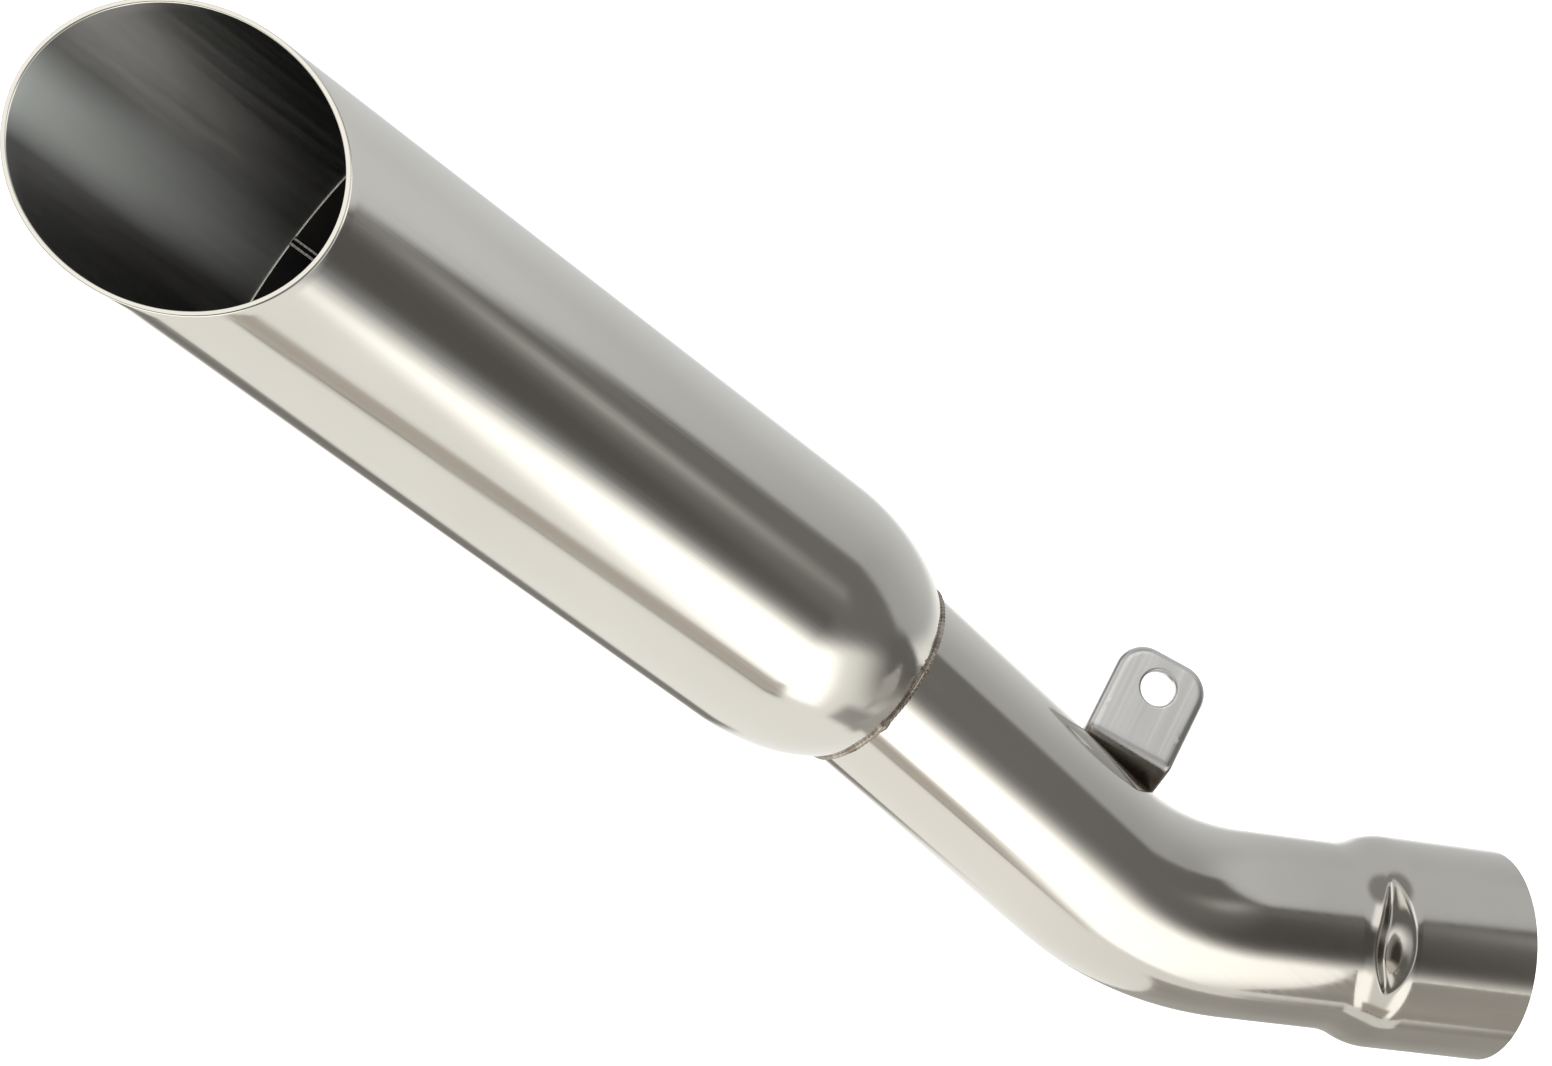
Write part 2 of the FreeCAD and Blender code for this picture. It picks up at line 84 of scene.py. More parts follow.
# Hanger tab
TAB_TURN = math.radians(16.8)
TAB_WIDTH = 25.4 * MM
TAB_THICK = 3.0 * MM
TAB_TOP = 9.4 * MM
TAB_CREASE = 16.6 * MM
TAB_CORNER_R = 8.0 * MM
TAB_FOLD = math.radians(56.0)
TAB_FOLD_R = 0.5 * MM
TAB_LEG = 15.0 * MM
TAB_FRONT_ROLL = 1.9 * MM
TAB_BACK_ROLL = 0.35 * MM
TAB_HOLE_ROLL = 0.6 * MM
TAB_BEAD_R = 1.3 * MM
TAB_FOOT_SINK = 0.25 * MM
TAB_RINGED = 6.5 * MM
EDGE_STEPS = np.array([0.0, 0.06, 0.18, 0.36, 0.6, 0.9, 1.25, 1.9]) * MM

# Depth stop pressed into the socket's root: a spindle-shaped dent with a deeper bowl in it. The mesh is
# finer within STOP_FINE_X and STOP_FINE_TURN of its middle.
STOP_X = -41.4 * MM
STOP_TILT = math.radians(33.0)
STOP_DEPTH = 3.7 * MM
STOP_KEEL_R = 71.0 * MM
STOP_SURFACE_R = 28.3 * MM
STOP_WALL_SLOPE = 0.95
STOP_WALL_LEAN = 0.15
STOP_NOSE_R = 1.0 * MM
STOP_BOWL_DEPTH = 3.4 * MM
STOP_BOWL_UP = -5.0 * MM
STOP_BOWL_R = (4.6 * MM, 7.5 * MM)
STOP_SOFTNESS = 0.7 * MM
STOP_INNER = 1.3
STOP_FINE_X = 14 * MM
STOP_FINE_TURN = 0.75

# Outlet bell. Ridge places are shares of the seam's half width, the plugs' turns are in degrees.
BELL_LIP_S = 142.0 * MM
BELL_LIP = 10.0 * MM
BELL_THROAT = 20.0 * MM
BELL_NECK = 8.0 * MM
BELL_NECK_BORE_R = 22.275 * MM
BELL_GAP = 0.075 * MM
BELL_SHEET = 1.2 * MM
BELL_SEAM_TURN = math.radians(102.5)
BELL_SEAM_WIDTH = 2.7 * MM
BELL_SEAM_CROWN = 0.06 * MM
BELL_SEAM_RIPPLE = 0.35
BELL_RIDGE = 0.26 * MM
BELL_RIDGE_PLACE = 0.55
BELL_RIDGE_WIDTH = 0.16
BELL_RIDGE_BRIGHT = 0.2
PLUG_S = 137.0 * MM
PLUG_R = 2.5 * MM
PLUG_CROWN = 0.4 * MM
PLUG_RIPPLE = 0.12
PLUG_TURNS = (15, 150, 195, 285)

# The painted highlight strip inside the can, as a turn about its axis
HIGHLIGHT_STRIP_TURN = math.radians(117)
HIGHLIGHT_STRIP_HALF_TURN = math.radians(21)

# The pipe's brighter polish towards the dome, the painted shade over heat tint that darkens the tab's leg,
# and the soot's faint gloss
PIPE_SHINE = ((-1, 0, 0), 60 * MM, 150 * MM, (0.69, 0.66, 0.60))
LEG_SHADE_AND_TINT = (0.17, 0.14, 0.11)
LEG_SHADE_AND_TINT_RUN = 5.0 * MM
SOOT_GLOSS = 0.08

# Edges and beads. SEAM_POLAR brackets the dome's polar angle where it meets the pipe. A lump on the bead
# there is its turn in degrees, its height and its half width in mm.
COLUMNS = 420
SHARP_ANGLE = math.radians(35)
EDGE_ROUND = 0.3 * MM
FINE = 0.001 * MM
BEAD_EMBED = 0.2 * MM
END_CAP = 0.02
RIPPLE_PITCH = 1.3 * MM
SEAM_BEAD_R = 0.64 * MM
SEAM_BEAD_OUT = 0.15 * MM
SEAM_BEAD_FORWARD = 0.25 * MM
SEAM_RIPPLE = 0.22
TAB_RIPPLE = 0.16
SEAM_POLAR = (0.3, 1.4)
SEAM_LUMPS = ((262.0, 0.55, 1.6), (301.0, 0.35, 0.7), (306.0, 0.3, 0.5), (120.0, 0.4, 1.2))

# Camera
CAM_AZIMUTH = math.radians(-14.36)
CAM_ELEVATION = math.radians(19.66)
CAM_ROLL = math.radians(13.83)
CAM_DISTANCE = 613.1 * MM
CAM_LENS = 57.94
CAM_SENSOR = 36.0
CAM_AIM = Vector((-15.95, 0.0, 11.45)) * MM

# Studio: the two cards are given by opposite corners
FLOOR_DROP = 0.16
FLOOR_SIZE = 30.0
LAMP_ENERGY = 2.6
LAMP_ANGLE = math.radians(120)
LAMP_TILT = (math.radians(12), math.radians(-8), 0)
CARD_DARK = (0.40, 0.385, 0.365)
CARD_LIGHT = (0.56, 0.545, 0.52)
TABLE_CARD = ((-0.075, -0.06, -0.12), (0.12, 0.14, -0.12))
FRONT_CARD = ((0.0, -0.12, -0.16), (0.25, -0.12, -0.012))
TENT_R = 6.0
TENT_UPPER = (0.735, 0.753, 0.775)
TENT_LOWER = (1.05, 1.05, 1.03)
TENT_HORIZON = (-9, 3)
TENT_DARK = (0.165, 0.16, 0.155)

# The tent's upper part is darker by TENT_FADE between two bearings and below a height
TENT_FADE = 0.36
TENT_FADE_IN = (25, 100)
TENT_FADE_OUT = (170, 190)
TENT_FADE_TOP = (36, 54)

# A dark tail below the dark room side leans with the height, and a small gleam lights that side
TENT_TAIL_LEAN = 0.7
TENT_TAIL_IN = (91, 97)
TENT_TAIL_OUT = (108, 140)
TENT_TAIL_LOW = (-58, -18)
TENT_TAIL_HIGH = (0, 12)
TENT_GLEAM = 0.28
TENT_GLEAM_AT = (134, 33)
TENT_GLEAM_R = (5, 9)

# Cards on the tent: (bearing low, high, soft low, high), (rise low, high, soft low, high), colour
TENT_CARDS = (
    ((144, 168, 14, 8), (-54, -10, 4, 10), (1.8, 1.8, 1.78)),       # white table edge in front
    ((158, 177, 6, 8), (-46, -10, 2, 10), (1.8, 1.8, 1.78)),
    ((325, 372, 14, 10), (-42, -10, 4, 10), (1.7, 1.7, 1.68)),      # the same behind
    ((103, 160, 6, 10), (-2, 46, 22, 5), (0.19, 0.185, 0.18)),      # dark room side in front
    ((146, 173, 10, 10), (4, 38, 18, 6), (0.115, 0.11, 0.105)),
    ((298, 338, 12, 14), (2, 46, 16, 6), (0.2, 0.195, 0.19)),       # and behind
    ((168, 216, 6, 12), (-56, -46, 2, 2), (0.55, 0.51, 0.46)),      # beige strip under the card
    ((168, 216, 6, 12), (-58.5, -56.5, 1, 1), (0.2, 0.18, 0.16)),
    ((320, 366, 10, 8), (-60, -44, 3, 6), (0.25, 0.24, 0.23)),      # dark strips at the table's edge
    ((86, 128, 14, 10), (-58, -44, 4, 8), (0.42, 0.41, 0.40)),
    ((214, 276, 10, 14), (-46, -6, 6, 8), (1.75, 1.75, 1.72)),      # white and dark to the left
    ((214, 276, 10, 14), (0, 42, 12, 10), (0.2, 0.195, 0.19)),
    ((250, 286, 8, 10), (20, 52, 6, 10), (1.3, 1.29, 1.25)),        # soft box behind the outlet
    ((157, 216, 12, 20), (43, 70, 5, 10), (1.45, 1.45, 1.45)),      # soft box high in front
    ((0, 360, 0.1, 0.1), (72, 91, 10, 0.1), (0.36, 0.355, 0.35)),   # dark ceiling
)


# Where things are

def centroid(node):
    """Middle of a CAD node's box."""
    low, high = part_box(node)
    return (low + high) / 2


mounts = {mount["name"]: mount for mount in frame["record"]["mounts"]}
SOCKET_BORE_R = mounts["inlet_socket"]["dims"]["r_mm"] * MM
SOCKET_LENGTH = mounts["inlet_socket"]["dims"]["length_mm"] * MM
SOCKET_R = SOCKET_BORE_R + PIPE_WALL
TAB_HOLE_R = mounts["bracket_hole"]["dims"]["r_mm"] * MM
TAB_HOLE = Vector(mounts["bracket_hole"]["pos_m"])
TAB_NORMAL = Vector(mounts["bracket_hole"]["axis"])
GIRTH_LOW, GIRTH_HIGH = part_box("shell_girth_weld")
CAN_R = (GIRTH_HIGH.y - GIRTH_LOW.y) / 2
CAN_BORE_R = CAN_R - CAN_WALL

# The two straight axes, from ring-shaped nodes and the bend
GIRTH_CENTRE = centroid("shell_girth_weld")
CAN_DIR = (centroid("steel_wool_wrap") - GIRTH_CENTRE).normalized()
CAN_UP = Vector((0, 1, 0)).cross(CAN_DIR)
DOME_BASE = GIRTH_CENTRE - CAN_DIR * (DOME_SKIRT + GIRTH_WELD / 2)
PIPE_DIR = Vector((-math.cos(BEND_ANGLE), 0, math.sin(BEND_ANGLE)))
BEND_CORNER = Vector((-SOCKET_RUN, 0, 0))
BEND_TANGENT = BEND_R * math.tan(BEND_ANGLE / 2)
BEND_START = BEND_CORNER + Vector((BEND_TANGENT, 0, 0))
BEND_END = BEND_CORNER + PIPE_DIR * BEND_TANGENT
BEND_CENTRE = BEND_START + Vector((0, 0, BEND_R))
CAN_AXES = np.array([CAN_UP, (0, 1, 0), CAN_DIR])


def seam_station():
    """Where the can's axis meets the pipe's axis, along the can from the dome's base."""
    offset = BEND_CORNER - DOME_BASE
    across = CAN_DIR.z * PIPE_DIR.x - CAN_DIR.x * PIPE_DIR.z
    return (offset.z * PIPE_DIR.x - offset.x * PIPE_DIR.z) / across


SEAM_S = seam_station()
SEAM = DOME_BASE + CAN_DIR * SEAM_S
DOME_LENGTH = -SEAM_S / math.sqrt(1 - (PIPE_R / CAN_R) ** 2)


def from_can(points):
    """Row-frame points from the can's own frame: X up, Y across, Z along the can."""
    return points @ CAN_AXES + np.array(DOME_BASE)


def pipe_distance(points):
    """Distance of points from the inlet pipe's centre line, past the socket."""
    points = np.asarray(points)
    direction = np.array(PIPE_DIR)
    from_end = points - np.array(BEND_END)
    run = from_end @ direction
    straight = np.linalg.norm(from_end - run[..., None] * direction, axis=-1)
    outward = np.hypot(points[..., 0] - BEND_CENTRE.x, points[..., 2] - BEND_CENTRE.z)
    bend = np.hypot(outward - BEND_R, points[..., 1])
    level = np.hypot(points[..., 1], points[..., 2])
    near = np.where(points[..., 0] > BEND_START.x, level, bend)
    return np.where(run > 0, straight, near)


def bisect(is_low, like, low, high, rounds=40):
    """An array shaped like another, of the values between low and high where is_low stops being true."""
    low = np.full_like(like, low)
    high = np.full_like(like, high)
    for _ in range(rounds):
        middle = (low + high) / 2
        below = is_low(middle)
        low = np.where(below, middle, low)
        high = np.where(below, high, middle)
    return (low + high) / 2


# Node materials

class Nodes:
    """Short calls for building one material's node tree."""

    def __init__(self, name):
        self.material = bpy.data.materials.new(name)
        self.material.use_nodes = True
        self.tree = self.material.node_tree
        self.tree.nodes.clear()
        self.output = self.add("OutputMaterial")
        self.place = self.add("TexCoord").outputs["Object"]

    def feed(self, socket, value):
        """Give an input a plain value or another node's output."""
        if isinstance(value, bpy.types.NodeSocket):
            self.tree.links.new(value, socket)
        else:
            socket.default_value = value

    def add(self, kind, **inputs):
        """A new node with its inputs fed; _ stands for a space in their names."""
        node = self.tree.nodes.new("ShaderNode" + kind)
        for name, value in inputs.items():
            self.feed(node.inputs[name.replace("_", " ")], value)
        return node

    def noise(self, scale, detail=3.0, frame_axes=None, stretch=(1, 1, 1)):
        """Noise in object space, optionally turned to an axis frame and stretched along its axes."""
        vector = self.place
        if frame_axes is not None:
            turn = Matrix(frame_axes).to_3x3().to_euler()
            vector = self.add("Mapping", Vector=vector, Rotation=turn).outputs["Vector"]
        vector = self.add("Mapping", Vector=vector, Scale=stretch).outputs["Vector"]
        return self.add("TexNoise", Vector=vector, Scale=scale, Detail=detail).outputs["Fac"]

    def remap(self, value, low, high, start=0.3, end=0.7):
        """The value's range from start to end, spread between low and high."""
        node = self.add("MapRange", Value=value, From_Min=start, From_Max=end, To_Min=low, To_Max=high)
        return node.outputs["Result"]

    def dot(self, vector, axis):
        """Dot product of a vector and a fixed axis."""
        node = self.add("VectorMath")
        node.operation = "DOT_PRODUCT"
        self.feed(node.inputs[0], vector)
        self.feed(node.inputs[1], axis)
        return node.outputs["Value"]

    def along(self, axis, start, end):
        """0 to 1 between two distances along an axis of object space."""
        return self.remap(self.dot(self.place, axis), 0, 1, start, end)

    def can_strip(self, turn, half_turn):
        """1 along one line of the can's wall, fading to 0 at half_turn each side and inwards."""
        place = self.add("Mapping", Vector=self.place, Rotation=Matrix(CAN_AXES).to_3x3().to_euler(),
                         Location=-(CAN_AXES @ np.array(DOME_BASE))).outputs["Vector"]
        flat = self.add("Mapping", Vector=place, Scale=(1, 1, 0)).outputs["Vector"]
        unit = self.add("VectorMath")
        unit.operation = "NORMALIZE"
        self.feed(unit.inputs[0], flat)
        facing = self.dot(unit.outputs["Vector"], (math.cos(turn), math.sin(turn), 0))
        station = self.add("SeparateXYZ", Vector=place).outputs["Z"]
        fade = self.add("Math")
        fade.operation = "MULTIPLY"
        self.feed(fade.inputs[0], self.remap(facing, 0, 1, math.cos(half_turn), 1))
        self.feed(fade.inputs[1], self.remap(station, 0.3, 1, BELL_LIP_S, SLASH_S + CAN_R))
        return fade.outputs["Value"]

    def blend(self, factor, first, second):
        """A mix of two colours, each a plain colour or another node's output."""
        node = self.add("Mix")
        node.data_type = "RGBA"
        self.feed(node.inputs["Factor"], factor)
        for name, colour in (("A", first), ("B", second)):
            plain = isinstance(colour, tuple)
            self.feed(node.inputs[name], (*colour, 1) if plain else colour)
        return node.outputs["Result"]

    def bump(self, height, distance, **under):
        """A bumped normal; Normal may be given to lay one bump over another."""
        return self.add("Bump", Height=height, Distance=distance, **under).outputs["Normal"]

    def principled(self, colour, roughness, metallic=1.0, specular=0.5, **normal):
        """The finished material; Normal may be given."""
        shader = self.add("BsdfPrincipled", Base_Color=colour, Roughness=roughness, Metallic=metallic,
                          Specular_IOR_Level=specular, **normal)
        return self.finish(shader.outputs["BSDF"])

    def glow(self, colour):
        """The finished material of something that only shines."""
        return self.finish(self.add("Emission", Color=colour).outputs["Emission"])

    def finish(self, surface):
        self.feed(self.output.inputs["Surface"], surface)
        return self.material


def grained_metal(name, light, dark, rough, axes, grain, tint=None):
    """Sheet with a fine grain along the third of the axes; tint is (axis, start, end, colour)."""
    nodes = Nodes(name)
    cloud = nodes.remap(nodes.noise(22.0, 4.0), 0, 1)
    streak = nodes.noise(1.0, 4.0, axes, (900, 900, 14))
    fine = nodes.noise(1.0, 2.0, axes, (2600, 2600, 60))
    colour = nodes.blend(cloud, dark, light)
    if tint is not None:
        colour = nodes.blend(nodes.along(*tint[:3]), colour, tint[3])
    roughness = nodes.remap(streak, *rough)
    normal = nodes.bump(streak, 0.0000035 * grain)
    normal = nodes.bump(fine, 0.0000012 * grain, Normal=normal)
    return nodes.principled(colour, roughness, Normal=normal)


def inside_metal():
    """The can's bore: dull sheet with soot, old polishing smears and one pale strip that paints a
    highlight along the wall.
    """
    nodes = Nodes("can_inside_dull")
    soot = nodes.remap(nodes.noise(35.0, 6.0, CAN_AXES, (1, 1, 0.35)), 0, 1, 0.35, 0.65)
    smear = nodes.noise(1.0, 3.0, CAN_AXES, (420, 420, 22))
    metal = nodes.blend(soot, (0.11, 0.107, 0.10), (0.21, 0.205, 0.195))
    # A pale, less metallic strip along one line of the wall: a painted highlight.
    strip = nodes.can_strip(HIGHLIGHT_STRIP_TURN, HIGHLIGHT_STRIP_HALF_TURN)
    colour = nodes.blend(strip, metal, (0.27, 0.285, 0.265))
    roughness = nodes.remap(smear, 0.34, 0.48)
    normal = nodes.bump(smear, 0.000006)
    return nodes.principled(colour, roughness, nodes.remap(strip, 1.0, 0.35, 0, 1), Normal=normal)


def soot_metal():
    """The bell and its throat, black with soot."""
    nodes = Nodes("bell_sooty")
    soot = nodes.remap(nodes.noise(60.0, 3.0), 0, 1)
    colour = nodes.blend(soot, (0.004, 0.004, 0.004), (0.012, 0.011, 0.010))
    roughness = nodes.remap(soot, 0.85, 1.0)
    return nodes.principled(colour, roughness, 0.0, SOOT_GLOSS, Normal=nodes.bump(soot, 0.000004))


def edge_highlight_metal():
    """The bell's lip edge and seam ridges: pale, partly non-metallic sheet that paints a highlight on
    them.
    """
    nodes = Nodes("bell_edge_painted_highlight")
    edge_mottle = nodes.remap(nodes.noise(400.0, 3.0), 0, 1)
    colour = nodes.blend(edge_mottle, (0.62, 0.60, 0.54), (0.46, 0.44, 0.40))
    return nodes.principled(colour, nodes.remap(edge_mottle, 0.4, 0.55), metallic=0.3)


def weld_metal():
    """Fused bead: straw and brown heat tint over bright steel, slightly pitted."""
    nodes = Nodes("weld_bead_tinted")
    tint = nodes.remap(nodes.noise(260.0, 3.0), 0, 1)
    pits = nodes.noise(1500.0, 3.0)
    colour = nodes.blend(tint, (0.50, 0.46, 0.40), (0.20, 0.16, 0.13))
    roughness = nodes.remap(pits, 0.20, 0.42)
    return nodes.principled(colour, roughness, Normal=nodes.bump(pits, 0.00003))


def mill_metal():
    """Unpolished sheet and perforated tube inside the can."""
    nodes = Nodes("mill_sheet")
    stain = nodes.remap(nodes.noise(60.0, 5.0), 0, 1)
    grit = nodes.noise(1.0, 3.0, CAN_AXES, (700, 700, 90))
    colour = nodes.blend(stain, (0.24, 0.235, 0.225), (0.40, 0.39, 0.37))
    roughness = nodes.remap(grit, 0.32, 0.5)
    return nodes.principled(colour, roughness, Normal=nodes.bump(grit, 0.00001))


def wool_metal():
    """Steel wool: tangled bright and dark strands."""
    nodes = Nodes("steel_wool_strands")
    strands = nodes.noise(1.0, 6.0, CAN_AXES, (1500, 1500, 320))
    shade = nodes.remap(strands, 0, 1, 0.4, 0.6)
    colour = nodes.blend(shade, (0.10, 0.10, 0.10), (0.55, 0.55, 0.54))
    roughness = nodes.remap(strands, 0.35, 0.6)
    return nodes.principled(colour, roughness, Normal=nodes.bump(strands, 0.0004))


def glass_fibre():
    """Matted glass fibre: cream to white, matt."""
    nodes = Nodes("glass_fibre_mat")
    strands = nodes.noise(1.0, 6.0, CAN_AXES, (900, 900, 420))
    shade = nodes.remap(strands, 0, 1, 0.35, 0.65)
    colour = nodes.blend(shade, (0.70, 0.64, 0.48), (0.90, 0.87, 0.78))
    roughness = nodes.remap(strands, 0.8, 1.0)
    return nodes.principled(colour, roughness, metallic=0.0, Normal=nodes.bump(strands, 0.0006))


# Mesh helpers

def finish_piece(obj, node, materials):
    """Shade, dress and register a piece that stands for a CAD node."""
    for material in materials:
        obj.data.materials.append(material)
    obj.data.shade_smooth()
    obj.data.set_sharp_from_angle(angle=SHARP_ANGLE)
    bpy.context.collection.objects.link(obj)
    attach(obj, "root")
    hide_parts(node)
    return obj


def signed_volume(points, faces):
    """Six times the volume that quads enclose, positive when they face outwards."""
    corner = points[faces]
    first = np.einsum("ij,ij->i", corner[:, 0], np.cross(corner[:, 1], corner[:, 2]))
    second = np.einsum("ij,ij->i", corner[:, 0], np.cross(corner[:, 2], corner[:, 3]))
    return (first + second).sum()


def mesh_from(name, points, faces, face_materials=None):
    """A mesh object from an array of points and an array of quads, turned to face outwards."""
    if signed_volume(points, faces) < 0:
        faces = faces[:, ::-1]
    mesh = bpy.data.meshes.new(name)
    mesh.vertices.add(len(points))
    mesh.vertices.foreach_set("co", points.ravel())
    mesh.loops.add(faces.size)
    mesh.loops.foreach_set("vertex_index", faces.ravel().astype(np.int32))
    mesh.polygons.add(len(faces))
    mesh.polygons.foreach_set("loop_start", np.arange(0, faces.size, 4, dtype=np.int32))
    if face_materials is not None:
        mesh.polygons.foreach_set("material_index", face_materials.astype(np.int32))
    mesh.update(calc_edges=True)
    mesh.validate()
    return bpy.data.objects.new(name, mesh)


def ring_faces(rows, columns, first=0):
    """Quads of a grid that closes on itself both ways."""
    row, column = np.meshgrid(np.arange(rows), np.arange(columns), indexing="ij")
    next_row = (row + 1) % rows
    next_column = (column + 1) % columns
    quads = [row * columns + column, row * columns + next_column,
             next_row * columns + next_column, next_row * columns + column]
    return np.stack([quad.ravel() for quad in quads], axis=1) + first


def ring_solid(name, grid, row_materials=None):
    """A closed solid from a rows x columns grid of points that joins up both ways."""
    rows, columns = grid.shape[:2]
    faces = ring_faces(rows, columns)
    materials = None
    if row_materials is not None:
        materials = np.repeat(row_materials, columns)
    return mesh_from(name, grid.reshape(-1, 3), faces, materials)


def rounding(depth, radius):
    """How far a rounded edge's surface lies back, at a distance in from the edge."""
    inward = np.clip(radius - depth, 0, radius)
    return radius - np.sqrt(radius ** 2 - inward ** 2)


def s_curve(x, x_start, x_end, y_start, y_end):
    """Two equal arcs that leave y_start and reach y_end level."""
    run = x_end - x_start
    drop = y_end - y_start
    radius = (run ** 2 + drop ** 2) / (4 * abs(drop))
    part = np.clip((x - x_start) / run, 0, 1)
    near = np.minimum(part, 1 - part) * abs(run)
    rise = radius - np.sqrt(radius ** 2 - near ** 2)
    return np.where(part < 0.5, y_start + np.sign(drop) * rise, y_end - np.sign(drop) * rise)


# The can and its dome

def turns(columns):
    return np.linspace(0, 2 * math.pi, columns, endpoint=False)


def slash_height(x, y):
    """Station of the slash plane over a point of the can's section."""
    lean = y * math.cos(SLASH_TURN) - x * math.sin(SLASH_TURN)
    return SLASH_S + SLASH_SLOPE * lean


def can_shell(outside, inside):
    """The can: a tube with a rounded, slash-cut rim."""
    angle = turns(COLUMNS)
    run = np.linspace(0, 1, 60)[:-1]
    quarter = np.linspace(0, math.pi / 2, 6)
    round_off = EDGE_ROUND * (1 - np.cos(quarter))
    set_back = EDGE_ROUND * (1 - np.sin(quarter))
    radius = np.concatenate([np.full_like(run, CAN_R), CAN_R - round_off,
                             CAN_BORE_R + round_off[::-1], np.full_like(run, CAN_BORE_R)])
    part = np.concatenate([run, np.ones(2 * len(quarter)), run[::-1]])
    back = np.concatenate([0 * run, set_back, set_back[::-1], 0 * run])
    start = DOME_SKIRT + GIRTH_WELD
    x = radius[:, None] * np.cos(angle)
    y = radius[:, None] * np.sin(angle)
    top = slash_height(x, y) - back[:, None]
    grid = np.stack([x, y, start + (top - start) * part[:, None]], axis=-1)
    in_bore = np.arange(len(radius)) >= len(run) + 2 * len(quarter) - 1
    obj = ring_solid("can_tube", from_can(grid), in_bore)
    return finish_piece(obj, "can_shell", [outside, inside])


def dome_points(angle, polar, radius, length):
    """Points of the dome's half ellipsoid, in the can's frame."""
    across = radius * np.sin(polar)
    return np.stack([across * np.cos(angle), across * np.sin(angle), -length * np.cos(polar)], axis=-1)


def seam_polar(angle, radius, length):
    """The polar angle at which the dome meets the pipe's surface, for each turn."""
    def inside_pipe(polar):
        return pipe_distance(from_can(dome_points(angle, polar, radius, length))) < PIPE_R
    return bisect(inside_pipe, angle, *SEAM_POLAR)


def skirt_ring(angle, radius, station):
    """One ring of the dome's straight skirt, in the can's frame."""
    return np.stack([radius * np.cos(angle), radius * np.sin(angle), np.full_like(angle, station)], axis=1)


def front_dome(outside, inside):
    """The spun dome, trimmed to the pipe, with its short straight skirt."""
    angle = turns(COLUMNS)
    inner_length = DOME_LENGTH - CAN_WALL
    outer_start = seam_polar(angle, CAN_R, DOME_LENGTH)
    inner_start = seam_polar(angle, CAN_BORE_R, inner_length)
    rows = []
    for part in np.linspace(0, 1, 90):
        polar = outer_start + (math.pi / 2 - outer_start) * part
        rows.append(dome_points(angle, polar, CAN_R, DOME_LENGTH))
    for station in np.linspace(0, DOME_SKIRT, 4)[1:]:
        rows.append(skirt_ring(angle, CAN_R, station))
    outer_rows = len(rows)
    for station in np.linspace(DOME_SKIRT, 0, 3)[:-1]:
        rows.append(skirt_ring(angle, CAN_BORE_R, station))
    for part in np.linspace(1, 0, 40):
        polar = inner_start + (math.pi / 2 - inner_start) * part
        rows.append(dome_points(angle, polar, CAN_BORE_R, inner_length))
    obj = ring_solid("spun_dome", from_can(np.array(rows)), np.arange(len(rows)) >= outer_rows)
    return finish_piece(obj, "front_dome", [outside, inside])


def revolved(name, profile, row_materials=None):
    """A closed solid of revolution about the can's axis, from (radius, station) pairs."""
    angle = turns(COLUMNS)
    radius, station = np.array(profile).T[:, :, None]
    grid = np.stack([radius * np.cos(angle), radius * np.sin(angle), station + 0 * angle], axis=-1)
    return ring_solid(name, from_can(grid), row_materials)


def girth_weld(material):
    """The ground-flush weld between the dome's skirt and the can."""
    end = DOME_SKIRT + GIRTH_WELD
    steps = np.linspace(DOME_SKIRT, end, 5)
    profile = [(CAN_R, station) for station in steps]
    profile += [(CAN_BORE_R, station) for station in steps[::-1]]
    obj = revolved("girth_weld_ground", profile)
    return finish_piece(obj, "shell_girth_weld", [material])


# The inlet pipe

def pipe_stations():
    """Centre points, heading angles and base radii along the pipe, from the socket's mouth."""
    socket_end = -SOCKET_LENGTH
    taper_end = socket_end - SOCKET_TAPER
    level = np.concatenate([np.linspace(0, STOP_X + STOP_FINE_X, 20)[:-1],
                            np.linspace(STOP_X + STOP_FINE_X, STOP_X - STOP_FINE_X, 113)[:-1],
                            np.linspace(STOP_X - STOP_FINE_X, BEND_START.x, 24)])
    radius = s_curve(level, socket_end, taper_end, SOCKET_R, PIPE_R)
    centres = [np.stack([level, 0 * level, 0 * level], axis=1)]
    heading = [0 * level]
    alpha = np.linspace(0, BEND_ANGLE, 64)[1:]
    bend = np.stack([-np.sin(alpha), 0 * alpha, -np.cos(alpha)], axis=1) * BEND_R
    centres.append(bend + np.array(BEND_CENTRE))
    heading.append(alpha)
    length = (SEAM - BEND_END).length + STUB
    run = np.linspace(0, length, 60)[1:]
    centres.append(np.array(BEND_END) + run[:, None] * np.array(PIPE_DIR))
    heading.append(0 * run + BEND_ANGLE)
    heading = np.concatenate(heading)
    radius = np.concatenate([radius, np.full(len(heading) - len(radius), PIPE_R)])
    return np.concatenate(centres), heading, radius


def soft_min(first, second, width):
    """The lower of two values, with a rounded change from one to the other."""
    mix = np.clip(0.5 + 0.5 * (second - first) / width, 0, 1)
    return second + (first - second) * mix - width * mix * (1 - mix)


def soft_abs(value, radius):
    """Distance from zero, with a rounded bottom."""
    return np.sqrt(value ** 2 + radius ** 2) - radius


